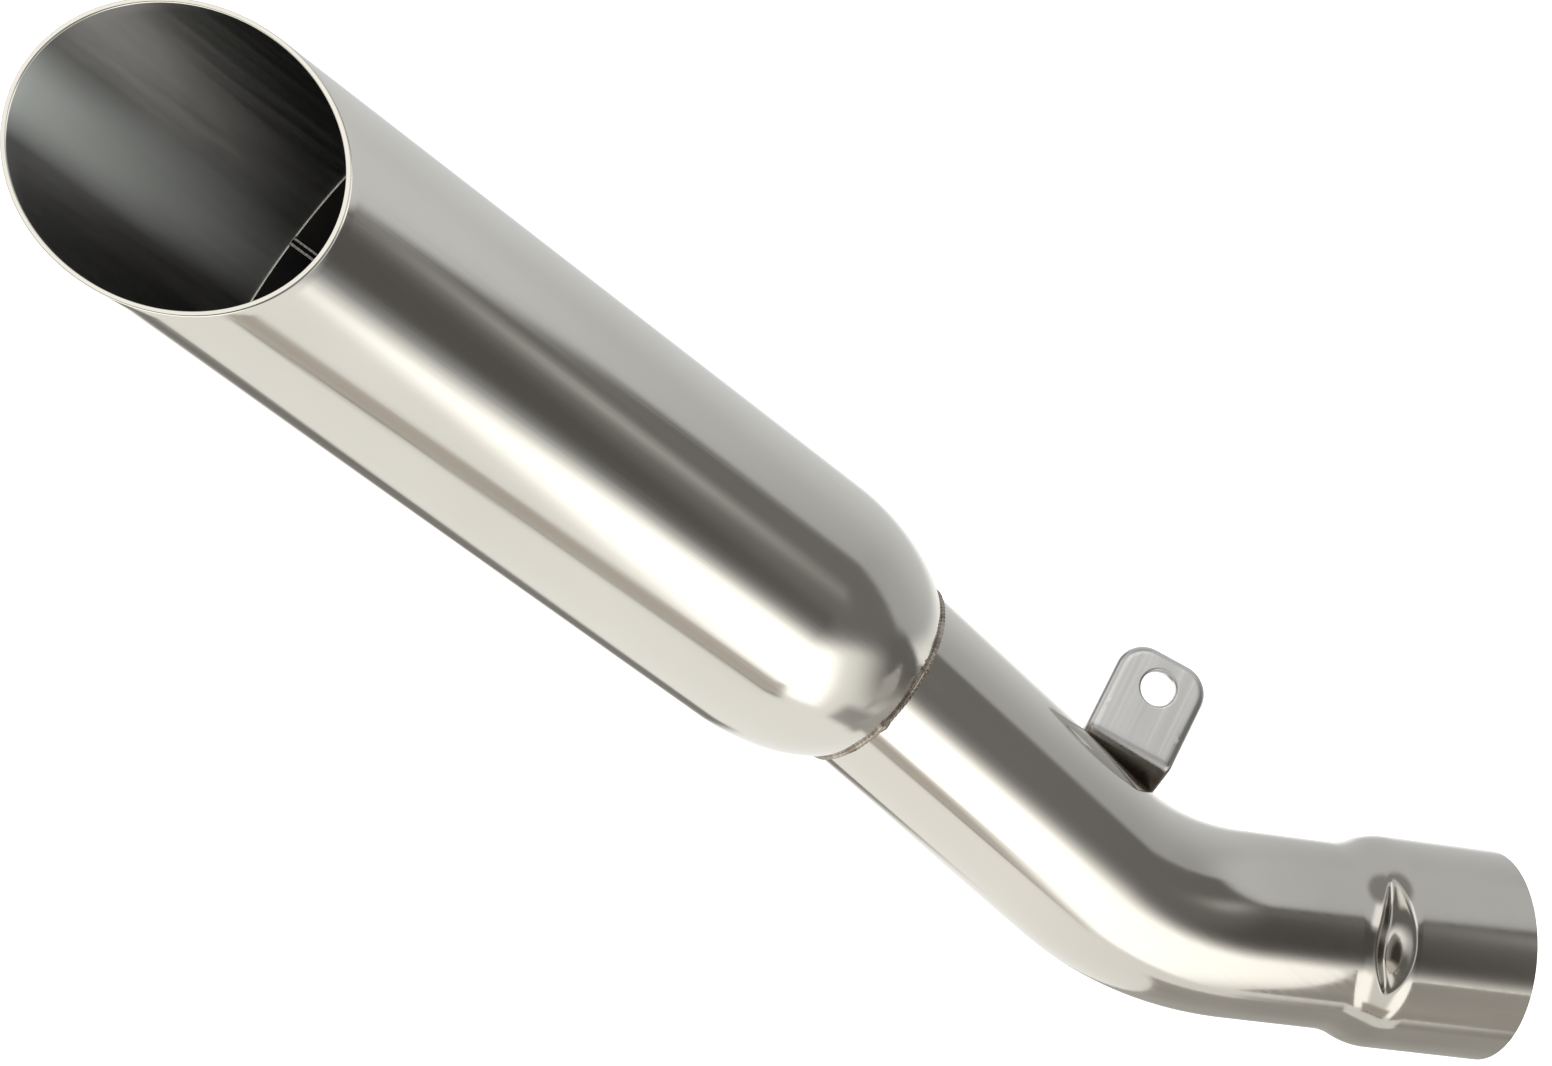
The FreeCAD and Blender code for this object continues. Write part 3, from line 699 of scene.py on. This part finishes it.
def press_stop(points, wall):
    """Push points in where the punch pressed the depth stop."""
    out = np.array([0, -math.cos(STOP_TILT), math.sin(STOP_TILT)])
    along = np.array([0, math.sin(STOP_TILT), math.cos(STOP_TILT)])
    height = points @ out
    up = points @ along
    aside = points[..., 0] - STOP_X
    keel = STOP_SURFACE_R - STOP_DEPTH - wall * STOP_INNER - up ** 2 / (2 * STOP_KEEL_R)
    bowl = (aside / STOP_BOWL_R[0]) ** 2 + ((up - STOP_BOWL_UP) / STOP_BOWL_R[1]) ** 2
    punch = keel + STOP_WALL_SLOPE * (soft_abs(aside, STOP_NOSE_R) + STOP_WALL_LEAN * aside)
    punch = punch - STOP_BOWL_DEPTH * np.exp(-bowl)
    pressed = np.where(height > 0, soft_min(height, punch, STOP_SOFTNESS), height)
    return points + (pressed - height)[..., None] * out


def pipe_angles():
    """Angles round the pipe from its top, closer together where the stop is."""
    middle = math.radians(270) + STOP_TILT
    fine = np.linspace(middle - STOP_FINE_TURN, middle + STOP_FINE_TURN, 220)[:-1]
    coarse = np.linspace(middle + STOP_FINE_TURN, middle - STOP_FINE_TURN + 2 * math.pi, 260)[:-1]
    return np.concatenate([fine, coarse])


def pipe_rings(centres, heading, radius, angle):
    """A ring of points round the pipe's centre line at each station."""
    up = np.stack([np.sin(heading), 0 * heading, np.cos(heading)], axis=1)
    ring = np.cos(angle)[None, :, None] * up[:, None, :]
    ring = ring + np.sin(angle)[None, :, None] * np.array([0, 1, 0])
    return centres[:, None, :] + ring * radius[:, None, None]


def mouth_lip(angle):
    """Rings over the rounded edge of the socket's mouth, from its bore to its outside."""
    bend = np.linspace(math.pi, 0, 9)[1:-1, None]
    radius = SOCKET_R - PIPE_WALL / 2 - PIPE_WALL / 2 * np.cos(bend)
    x = (np.sin(bend) - 1) * EDGE_ROUND
    return np.stack([x + 0 * angle, radius * np.sin(angle), radius * np.cos(angle)], axis=-1)


def inlet_pipe(outside, inside):
    """The bent pipe with its swelled socket, pressed stop and rounded mouth."""
    centres, heading, radius = pipe_stations()
    angle = pipe_angles()
    outer = press_stop(pipe_rings(centres, heading, radius, angle), 0.0)
    inner = press_stop(pipe_rings(centres, heading, radius - PIPE_WALL, angle)[::-1], PIPE_WALL)
    outer[0, :, 0] -= EDGE_ROUND
    inner[-1, :, 0] -= EDGE_ROUND
    grid = np.concatenate([outer, inner, mouth_lip(angle)])
    row = np.arange(len(grid))
    in_bore = (row >= len(outer)) & (row < len(outer) + len(inner))
    obj = ring_solid("bent_pipe", grid, in_bore)
    return finish_piece(obj, "inlet_pipe", [outside, inside])


# Beads

def bead_grid(path, radii, closed):
    """Rings round a path, one per point."""
    ahead = np.roll(path, -1, axis=0) - np.roll(path, 1, axis=0)
    if not closed:
        ahead[0] = path[1] - path[0]
        ahead[-1] = path[-1] - path[-2]
    ahead /= np.linalg.norm(ahead, axis=1)[:, None]
    side = np.cross(ahead, np.array([0.0, 0.0, 1.0]))
    side /= np.linalg.norm(side, axis=1)[:, None]
    over = np.cross(side, ahead)
    angle = turns(16)
    ring = side[:, None, :] * np.cos(angle)[None, :, None]
    ring = ring + over[:, None, :] * np.sin(angle)[None, :, None]
    return path[:, None, :] + ring * radii[:, None, None]


def capped(grid):
    """The rows of an open bead, closed by a hair-thin core that runs back inside it."""
    middle = grid.mean(axis=1, keepdims=True)
    core = middle + (grid - middle) * END_CAP
    return np.concatenate([grid, core[::-1]])


def ripples(distance, pitch, depth):
    """Overlapping crescents along a bead, as a factor on its radius."""
    phase = (distance / pitch) % 1.0
    return 1 - depth * phase ** 2


def pipe_dome_weld(material):
    """The thin TIG bead round the seam, with its thicker stop and a few spatter lumps."""
    angle = turns(1400)
    polar = seam_polar(angle, CAN_R, DOME_LENGTH)
    seam = from_can(dome_points(angle, polar, CAN_R, DOME_LENGTH))
    axis = np.array(PIPE_DIR)
    from_seam = seam - np.array(SEAM)
    outward = from_seam - (from_seam @ axis)[:, None] * axis
    outward /= np.linalg.norm(outward, axis=1)[:, None]
    path = seam + outward * SEAM_BEAD_OUT - axis * SEAM_BEAD_FORWARD
    radii = SEAM_BEAD_R * ripples(angle * PIPE_R, RIPPLE_PITCH, SEAM_RIPPLE)
    radii *= 1 + 0.10 * np.sin(angle * 9 + 1.0) + 0.06 * np.sin(angle * 23)
    for turn, height, width in SEAM_LUMPS:
        gap = np.abs((angle - math.radians(turn) + math.pi) % (2 * math.pi) - math.pi) * PIPE_R
        radii += height * MM * np.exp(-(gap / (width * MM)) ** 2)
    obj = ring_solid("pipe_dome_bead", bead_grid(path, radii, True))
    return finish_piece(obj, "pipe_dome_weld", [material])


# The hanger tab

def tab_axes():
    """The tab's own axes as matrix columns: across its width, up its face, out of its face."""
    lean = math.asin(TAB_NORMAL.z)
    yaw = math.atan2(TAB_NORMAL.x, -TAB_NORMAL.y)
    turned = Matrix.Rotation(yaw, 3, "Z") @ Matrix.Rotation(math.pi / 2 - lean, 3, "X")
    return np.array(turned @ Matrix.Rotation(-TAB_TURN, 3, "Z"))


TAB_AXES = tab_axes()


def from_tab(points):
    return np.asarray(points) @ TAB_AXES.T + np.array(TAB_HOLE)


def leg_point(side, back, length):
    """A point on the tab's leg: across, back from its front face and down from the fold."""
    return fold_tab(side, 0, 1, length, back)


def leg_length(side, back, sink=0.0):
    """How far the leg runs before it meets the pipe."""
    def outside(length):
        return pipe_distance(leg_point(side, back, length)) > PIPE_R - sink
    return bisect(outside, side, 0, TAB_LEG)


def fold_tab(side, up, fold, down, back):
    """Row-frame points of the tab, set back from its front face.

    On the flat face fold is 0 and up is the height. On the rest fold goes from 0 to 1 round the bend,
    and down is the distance from there along the leg.
    """
    rho = TAB_FOLD_R + TAB_THICK - back
    turn = fold * TAB_FOLD
    y = -TAB_CREASE - rho * np.sin(turn) - down * math.cos(TAB_FOLD)
    z = -(TAB_FOLD_R + TAB_THICK) + rho * np.cos(turn) - down * math.sin(TAB_FOLD)
    on_face = np.equal(fold, 0)
    y = np.where(on_face, up, y)
    z = np.where(on_face, -back, z)
    return from_tab(np.stack([side, y + 0 * side, z + 0 * side], axis=-1))


def edge_ladder(width, step):
    """Offsets across a strip, close together near both edges."""
    last = EDGE_STEPS[-1]
    middle = np.linspace(last, width - last, max(3, int(width / step)))[1:-1]
    return np.concatenate([EDGE_STEPS, middle, width - EDGE_STEPS[::-1]])


def tab_outline(across, bottom):
    """Points round the tab's upper part, anticlockwise, starting with the row across its bottom."""
    half = TAB_WIDTH / 2
    shoulder = TAB_TOP - TAB_CORNER_R
    base = np.stack([across, np.full_like(across, bottom)], axis=1)
    rise = np.linspace(bottom, shoulder, 16)[1:]
    right = np.stack([np.full_like(rise, half), rise], axis=1)
    turn = np.linspace(0, math.pi / 2, 18)[1:]
    arc_x = half - TAB_CORNER_R + TAB_CORNER_R * np.cos(turn)
    arc_y = shoulder + TAB_CORNER_R * np.sin(turn)
    right_arc = np.stack([arc_x, arc_y], axis=1)
    level = np.linspace(half - TAB_CORNER_R, TAB_CORNER_R - half, 10)[1:]
    top = np.stack([level, np.full_like(level, TAB_TOP)], axis=1)
    left_arc = np.stack([-arc_x[::-1], arc_y[::-1]], axis=1)[1:]
    left = np.stack([np.full_like(rise, -half), rise[::-1]], axis=1)
    return np.concatenate([base, right, right_arc, top, left_arc, left])


def tab_rings(outline):
    """Rings of points from the hole's edge out to the outline, close together near both."""
    reach = np.linalg.norm(outline, axis=1)
    hole = outline * (TAB_HOLE_R / reach)[:, None]
    near = EDGE_STEPS[:, None] / (reach - TAB_HOLE_R)
    middle = np.linspace(0, 1, 8)[1:-1, None]
    steps = np.concatenate([near, near[-1] + (1 - 2 * near[-1]) * middle, 1 - near[::-1]])
    return hole + (outline - hole) * steps[..., None]


def edge_distance(side, up):
    """Distance in from the tab's outline, whose top corners are round."""
    x = np.abs(side) - (TAB_WIDTH / 2 - TAB_CORNER_R)
    y = up - (TAB_TOP - TAB_CORNER_R)
    return TAB_CORNER_R - np.hypot(np.maximum(x, 0), np.maximum(y, 0))


def open_edges(faces):
    """Point pairs along the edges that only one quad uses, in that quad's direction."""
    pairs = np.stack([faces, np.roll(faces, -1, axis=1)], axis=-1).reshape(-1, 2)
    used = set(map(tuple, pairs))
    return np.array([pair for pair in pairs if (pair[1], pair[0]) not in used])


def tab_sheet():
    """The tab unrolled: side, up, fold and leg part of each point, and the quads between them."""
    across = edge_ladder(TAB_WIDTH, 1.2 * MM) - TAB_WIDTH / 2
    bottom = -TAB_HOLE_R - TAB_RINGED
    rings = tab_rings(tab_outline(across, bottom))
    ring_count, columns = rings.shape[:2]
    up = np.concatenate([np.linspace(bottom, -TAB_CREASE, 6)[1:], np.full(12 + 11, -TAB_CREASE)])
    fold = np.concatenate([np.zeros(5), np.linspace(0, 1, 13)[1:], np.ones(11)])
    leg = np.concatenate([np.zeros(5 + 12), np.linspace(0, 1, 12)[1:]])
    count = len(across)
    ringed = ring_count * columns
    side = np.concatenate([rings[..., 0].ravel(), np.tile(across, len(up))])
    up = np.concatenate([rings[..., 1].ravel(), np.repeat(up, count)])
    fold = np.concatenate([np.zeros(ringed), np.repeat(fold, count)])
    leg = np.concatenate([np.zeros(ringed), np.repeat(leg, count)])
    base = (ring_count - 1) * columns + np.arange(count)
    rows = np.vstack([base, np.arange(ringed, len(side)).reshape(-1, count)])
    strip = np.stack([rows[:-1, :-1], rows[:-1, 1:], rows[1:, 1:], rows[1:, :-1]], axis=-1)
    faces = np.concatenate([ring_faces(ring_count, columns)[:-columns], strip.reshape(-1, 4)])
    return side, up, fold, leg, faces


def mount_bracket(material):
    """The folded tab with rolled edges, its hole, and a leg coped to the pipe."""
    side, up, fold, leg, faces = tab_sheet()
    inset = np.maximum(edge_distance(side, up), 0)
    hole_inset = np.maximum(np.hypot(side, up) - TAB_HOLE_R, 0)
    front = np.maximum(rounding(inset, TAB_FRONT_ROLL), rounding(hole_inset, TAB_HOLE_ROLL))
    back = np.maximum(rounding(inset, TAB_BACK_ROLL), rounding(hole_inset, TAB_BACK_ROLL))
    sides = []
    for depth in (front, TAB_THICK - back):
        down = leg_length(side, depth, TAB_FOOT_SINK) * leg
        sides.append(fold_tab(side, up, fold, down, depth))
    start, end = open_edges(faces).T
    walls = np.stack([end, start, start + len(side), end + len(side)], axis=1)
    every = np.concatenate([faces, faces[:, ::-1] + len(side), walls])
    obj = mesh_from("hanger_tab", np.concatenate(sides), every)
    return finish_piece(obj, "mount_bracket", [material])


def bracket_weld(material):
    """The fillet bead along the foot of the tab's leg, on its inner side."""
    inset = TAB_WIDTH / 2 - TAB_BEAD_R
    side = np.linspace(-inset, inset, 120)
    foot = leg_point(side, TAB_THICK, leg_length(side, TAB_THICK))
    length = np.concatenate([[0], np.cumsum(np.linalg.norm(np.diff(foot, axis=0), axis=1))])
    radii = TAB_BEAD_R * 0.95 * ripples(length, RIPPLE_PITCH, TAB_RIPPLE)
    ends = np.minimum(length, length[-1] - length)
    taper = np.sqrt(np.clip(1 - (1 - np.clip(ends / TAB_BEAD_R, 0, 1)) ** 2, 0.0025, 1))
    obj = ring_solid("tab_foot_bead", capped(bead_grid(foot, radii * taper, False)))
    return finish_piece(obj, "bracket_weld", [material])


# The outlet bell

def bell_profile():
    """Half section of the bell as (radius, station) pairs, with a rounded lip edge."""
    throat_end = BELL_LIP_S - BELL_LIP
    throat_start = throat_end - BELL_THROAT
    neck_start = throat_start - BELL_NECK
    lip_r = CAN_BORE_R - BELL_GAP
    throat = np.linspace(throat_start, throat_end, 40)
    outer_neck = BELL_NECK_BORE_R + BELL_SHEET
    outer = [(outer_neck, neck_start)]
    outer += list(zip(s_curve(throat, throat_start, throat_end, outer_neck, lip_r), throat))
    outer += [(lip_r, BELL_LIP_S - EDGE_ROUND)]
    turn = np.linspace(0, math.pi, 9)[1:-1]
    middle = lip_r - BELL_SHEET / 2
    lip = list(zip(middle + BELL_SHEET / 2 * np.cos(turn), BELL_LIP_S - EDGE_ROUND * (1 - np.sin(turn))))
    inner_r = lip_r - BELL_SHEET
    inner = [(inner_r, BELL_LIP_S - EDGE_ROUND)]
    bore = s_curve(throat, throat_start, throat_end, BELL_NECK_BORE_R, inner_r)
    inner += list(zip(bore[::-1], throat[::-1])) + [(BELL_NECK_BORE_R, neck_start)]
    return outer + lip + inner


def outlet_bell(soot, edge):
    """The flared bell, sooty but for its lip edge, which carries a painted highlight."""
    profile = bell_profile()
    on_edge = np.array([station > BELL_LIP_S - EDGE_ROUND - FINE for _, station in profile])
    obj = revolved("flared_bell", profile, row_materials=on_edge & np.roll(on_edge, -1))
    return finish_piece(obj, "outlet_bell", [soot, edge])


def bell_seam_weld(soot, ridge):
    """The rolled lengthwise seam on the bell's lip: a low sooty strip with two fine ridges that carry a
    painted highlight.
    """
    lip_r = CAN_BORE_R - BELL_GAP
    inner_r = lip_r - BELL_SHEET
    station = np.linspace(BELL_LIP_S - BELL_LIP, BELL_LIP_S - 0.05 * MM, 60)
    across = np.linspace(-1, 1, 41)
    half_turn = BELL_SEAM_WIDTH / 2 / inner_r
    angle = BELL_SEAM_TURN + across * half_turn
    off_ridge = np.abs(np.abs(across) - BELL_RIDGE_PLACE)
    crown = BELL_SEAM_CROWN + BELL_RIDGE * np.exp(-(off_ridge / BELL_RIDGE_WIDTH) ** 2)
    # The ridges' crowns take the material that paints a highlight.
    on_ridge = np.concatenate([off_ridge < BELL_RIDGE_BRIGHT, np.zeros(len(across), dtype=bool)])
    ripple = ripples(station, RIPPLE_PITCH, BELL_SEAM_RIPPLE)
    under_r = lip_r - BEAD_EMBED
    under = np.stack([under_r * np.cos(angle), under_r * np.sin(angle)], axis=1)
    rows = []
    for place, swell in zip(station, ripple):
        radius = inner_r - crown * swell
        top = np.stack([radius * np.cos(angle), radius * np.sin(angle)], axis=1)
        loop = np.concatenate([top, under[::-1]])
        rows.append(np.concatenate([loop, np.full((len(loop), 1), place)], axis=1))
    closed = from_can(capped(np.array(rows)))
    obj = ring_solid("bell_seam_bead", closed.transpose(1, 0, 2), on_ridge)
    return finish_piece(obj, "bell_seam_weld", [soot, ridge])


def bell_plug_welds(material):
    """Round plug welds on the bell's lip, each a low rippled button."""
    lip_r = CAN_BORE_R - BELL_GAP
    inner_r = lip_r - BELL_SHEET
    angle = turns(40)
    rings = np.linspace(END_CAP, 1, 16)
    grids = []
    for turn in PLUG_TURNS:
        middle = math.radians(turn)
        rows = []
        for part in rings:
            height = PLUG_CROWN * math.sqrt(1 - part ** 2) * (1 + PLUG_RIPPLE * math.sin(part * 14))
            rows.append((part * PLUG_R, inner_r - height))
        rows += [(part * PLUG_R, lip_r - BEAD_EMBED) for part in rings[::-1]]
        grid = []
        for reach, radius in rows:
            along = PLUG_S + reach * np.sin(angle)
            where = middle + reach * np.cos(angle) / inner_r
            grid.append(np.stack([radius * np.cos(where), radius * np.sin(where), along], axis=1))
        grids.append(np.array(grid))
    points = np.concatenate([from_can(grid).reshape(-1, 3) for grid in grids])
    size = grids[0].shape[0] * grids[0].shape[1]
    faces = [ring_faces(*grid.shape[:2], first=index * size) for index, grid in enumerate(grids)]
    obj = mesh_from("bell_plug_buttons", points, np.concatenate(faces))
    return finish_piece(obj, "bell_plug_welds", [material])


# Nodes that keep their CAD shape

def dress_cad_nodes(dress):
    for node, material in dress.items():
        data = frame["nodes"][node].data
        for index in range(len(data.materials)):
            data.materials[index] = material


# Studio

def smooth(value, start, end):
    """0 before start, 1 after end, eased between."""
    part = np.clip((value - start) / (end - start), 0, 1)
    return part * part * (3 - 2 * part)


def band(value, low, high, soft_low, soft_high):
    """1 between low and high, fading to 0 over the given widths."""
    start = smooth(value, low - soft_low / 2, low + soft_low / 2)
    end = smooth(value, high - soft_high / 2, high + soft_high / 2)
    return start * (1 - end)


def around(azimuth, low, high, soft_low, soft_high):
    """A band of bearings, which may run past north."""
    half = (high - low) / 2
    offset = (azimuth - low - half + 180) % 360 - 180
    return band(offset, -half, half, soft_low, soft_high)


def tent_light(azimuth, elevation):
    """Brightness of the light tent by direction, in degrees: azimuth 0 is +Y and 90 is +X."""
    bearing = azimuth % 360
    fade = smooth(bearing, *TENT_FADE_IN) * (1 - smooth(bearing, *TENT_FADE_OUT))
    fade = fade * (1 - smooth(elevation, *TENT_FADE_TOP))
    upper = np.array(TENT_UPPER) * (1 - TENT_FADE * fade)[..., None]
    light = upper + (np.array(TENT_LOWER) - upper) * (1 - smooth(elevation, *TENT_HORIZON))[..., None]
    for across, rise, colour in TENT_CARDS:
        mask = around(bearing, *across) * band(elevation, *rise)
        light = light + (np.array(colour) - light) * mask[..., None]
    leaning = bearing - TENT_TAIL_LEAN * elevation
    tail = smooth(leaning, *TENT_TAIL_IN) * (1 - smooth(bearing, *TENT_TAIL_OUT))
    tail = tail * smooth(elevation, *TENT_TAIL_LOW) * (1 - smooth(elevation, *TENT_TAIL_HIGH))
    light = light + (np.array(TENT_DARK) - light) * tail[..., None]
    across = (bearing - TENT_GLEAM_AT[0]) / TENT_GLEAM_R[0]
    rise = (elevation - TENT_GLEAM_AT[1]) / TENT_GLEAM_R[1]
    return light + np.exp(-across ** 2 - rise ** 2)[..., None] * TENT_GLEAM


def light_tent():
    """A far shell seen only in reflections: white cards, a dark room side and a pale table."""
    azimuth, elevation = np.meshgrid(np.arange(0, 360, 1.0), np.arange(-90, 90.1, 0.75), indexing="ij")
    east, rise = np.radians(azimuth), np.radians(elevation)
    points = np.stack([np.sin(east) * np.cos(rise), np.cos(east) * np.cos(rise), np.sin(rise)], axis=-1)
    rows, columns = points.shape[:2]
    row, column = np.meshgrid(np.arange(rows), np.arange(columns - 1), indexing="ij")
    after = (row + 1) % rows
    quads = [row * columns + column, row * columns + column + 1,
             after * columns + column + 1, after * columns + column]
    faces = np.stack([quad.ravel() for quad in quads], axis=1)
    obj = mesh_from("light_tent", points.reshape(-1, 3) * TENT_R + np.array(object_centre()), faces)
    colour = tent_light(azimuth, elevation).reshape(-1, 3)
    layer = obj.data.attributes.new("tent_light", "FLOAT_COLOR", "POINT")
    layer.data.foreach_set("color", np.concatenate([colour, np.ones((len(colour), 1))], axis=1).ravel())
    nodes = Nodes("tent_glow")
    shade = nodes.add("Attribute")
    shade.attribute_name = "tent_light"
    obj.data.materials.append(nodes.glow(shade.outputs["Color"]))
    reflected_only(obj)


def object_centre():
    return (CAD_BOX[0] + CAD_BOX[1]) / 2


def studio_floor():
    """A plain pale floor below the part."""
    half = FLOOR_SIZE / 2
    height = CAD_BOX[0].z - FLOOR_DROP
    mesh = bpy.data.meshes.new("floor")
    corners = [(-half, -half, height), (half, -half, height), (half, half, height), (-half, half, height)]
    mesh.from_pydata(corners, [], [(0, 1, 2, 3)])
    obj = bpy.data.objects.new("floor", mesh)
    nodes = Nodes("floor_pale")
    mottle = nodes.noise(3.0, 2.0)
    colour = nodes.blend(mottle, (0.88, 0.88, 0.88), (0.90, 0.90, 0.90))
    mesh.materials.append(nodes.principled(colour, nodes.remap(mottle, 0.8, 0.9), metallic=0.0))
    bpy.context.collection.objects.link(obj)
    obj.visible_glossy = False


def grey_card(name, low, high):
    """A grey card near the socket, from corner to corner of a flat box, seen only in reflections."""
    (x0, y0, z0), (x1, y1, z1) = low, high
    corners = [(x0, y0, z0), (x1, y0, z0), (x1, y1, z1), (x0, y1, z1)]
    mesh = bpy.data.meshes.new(name)
    mesh.from_pydata(corners, [], [(0, 1, 2, 3)])
    obj = bpy.data.objects.new(name, mesh)
    nodes = Nodes(name + "_glow")
    mesh.materials.append(nodes.glow(nodes.blend(nodes.noise(18.0, 2.0), CARD_DARK, CARD_LIGHT)))
    reflected_only(obj)


def reflected_only(obj):
    """Add a stage object that only reflections see."""
    bpy.context.collection.objects.link(obj)
    for rays in ("camera", "diffuse", "transmission", "volume_scatter", "shadow"):
        setattr(obj, "visible_" + rays, False)


def lamp():
    """One wide soft light from above; reflections see the tent instead."""
    data = bpy.data.lights.new("soft_sun", "SUN")
    data.energy = LAMP_ENERGY
    data.angle = LAMP_ANGLE
    obj = bpy.data.objects.new("soft_sun", data)
    obj.rotation_euler = LAMP_TILT
    bpy.context.collection.objects.link(obj)
    obj.visible_glossy = False


def sky():
    """An even white room."""
    world = bpy.data.worlds.new("pale_room")
    world.use_nodes = True
    background = world.node_tree.nodes["Background"]
    background.inputs["Color"].default_value = (1.0, 1.0, 1.0, 1)
    bpy.context.scene.world = world


def camera():
    """A camera at the reference viewing angle, aimed near the part's middle."""
    flat = math.cos(CAM_ELEVATION)
    forward = Vector((-math.sin(CAM_AZIMUTH) * flat, math.cos(CAM_AZIMUTH) * flat,
                      -math.sin(CAM_ELEVATION)))
    level = forward.cross(Vector((0, 0, 1))).normalized()
    upright = level.cross(forward)
    right = level * math.cos(CAM_ROLL) + upright * math.sin(CAM_ROLL)
    up = right.cross(forward)
    data = bpy.data.cameras.new("camera")
    data.lens = CAM_LENS
    data.sensor_width = CAM_SENSOR
    data.clip_start = 0.01
    data.clip_end = 100
    obj = bpy.data.objects.new("camera", data)
    turn = Matrix((right, up, -forward)).transposed().to_4x4()
    place = object_centre() + CAM_AIM - forward * CAM_DISTANCE
    obj.matrix_world = Matrix.Translation(place) @ turn
    bpy.context.collection.objects.link(obj)
    bpy.context.scene.camera = obj


def build_part():
    pipe_axes = np.array([(math.sin(BEND_ANGLE), 0, math.cos(BEND_ANGLE)), (0, 1, 0), PIPE_DIR])
    tab_grain = np.array([TAB_AXES[:, 0], -TAB_AXES[:, 2], TAB_AXES[:, 1]])
    can_outside = grained_metal("can_polished", (0.70, 0.675, 0.615), (0.66, 0.635, 0.58),
                                (0.09, 0.15), CAN_AXES, 1.8)
    pipe_outside = grained_metal("pipe_polished", (0.57, 0.54, 0.485), (0.52, 0.495, 0.445),
                                 (0.08, 0.14), pipe_axes, 1.0, PIPE_SHINE)
    tab_up = TAB_AXES[:, 1]
    hole_up = tab_up @ np.array(TAB_HOLE)
    # Painted shade over heat tint: the tab's leg darkens to brown below the crease.
    leg_shade_and_tint = (tab_up, hole_up - TAB_CREASE, hole_up - TAB_CREASE - LEG_SHADE_AND_TINT_RUN, LEG_SHADE_AND_TINT)
    tab_satin = grained_metal("tab_satin", (0.64, 0.63, 0.605), (0.58, 0.57, 0.545),
                              (0.26, 0.38), tab_grain, 3.0, leg_shade_and_tint)
    dull = inside_metal()
    weld = weld_metal()
    mill = mill_metal()
    # Pale material that paints the highlight on the bell's lip edge and seam ridges.
    edge_highlight = edge_highlight_metal()
    can_shell(can_outside, dull)
    front_dome(can_outside, dull)
    girth_weld(can_outside)
    inlet_pipe(pipe_outside, dull)
    pipe_dome_weld(weld)
    mount_bracket(tab_satin)
    bracket_weld(weld)
    soot = soot_metal()
    outlet_bell(soot, edge_highlight)
    bell_seam_weld(soot, edge_highlight)
    bell_plug_welds(weld)
    dress_cad_nodes({"core_sleeve": mill, "front_bulkhead": mill, "perforated_core": mill,
                     "bulkhead_tack_welds": weld, "core_seam_weld": weld,
                     "steel_wool_wrap": wool_metal(), "packing_sleeve": glass_fibre()})


camera()
build_part()
studio_floor()
light_tent()
grey_card("table_card", *TABLE_CARD)
grey_card("front_card", *FRONT_CARD)
lamp()
sky()
bpy.context.scene.view_settings.view_transform = "Standard"
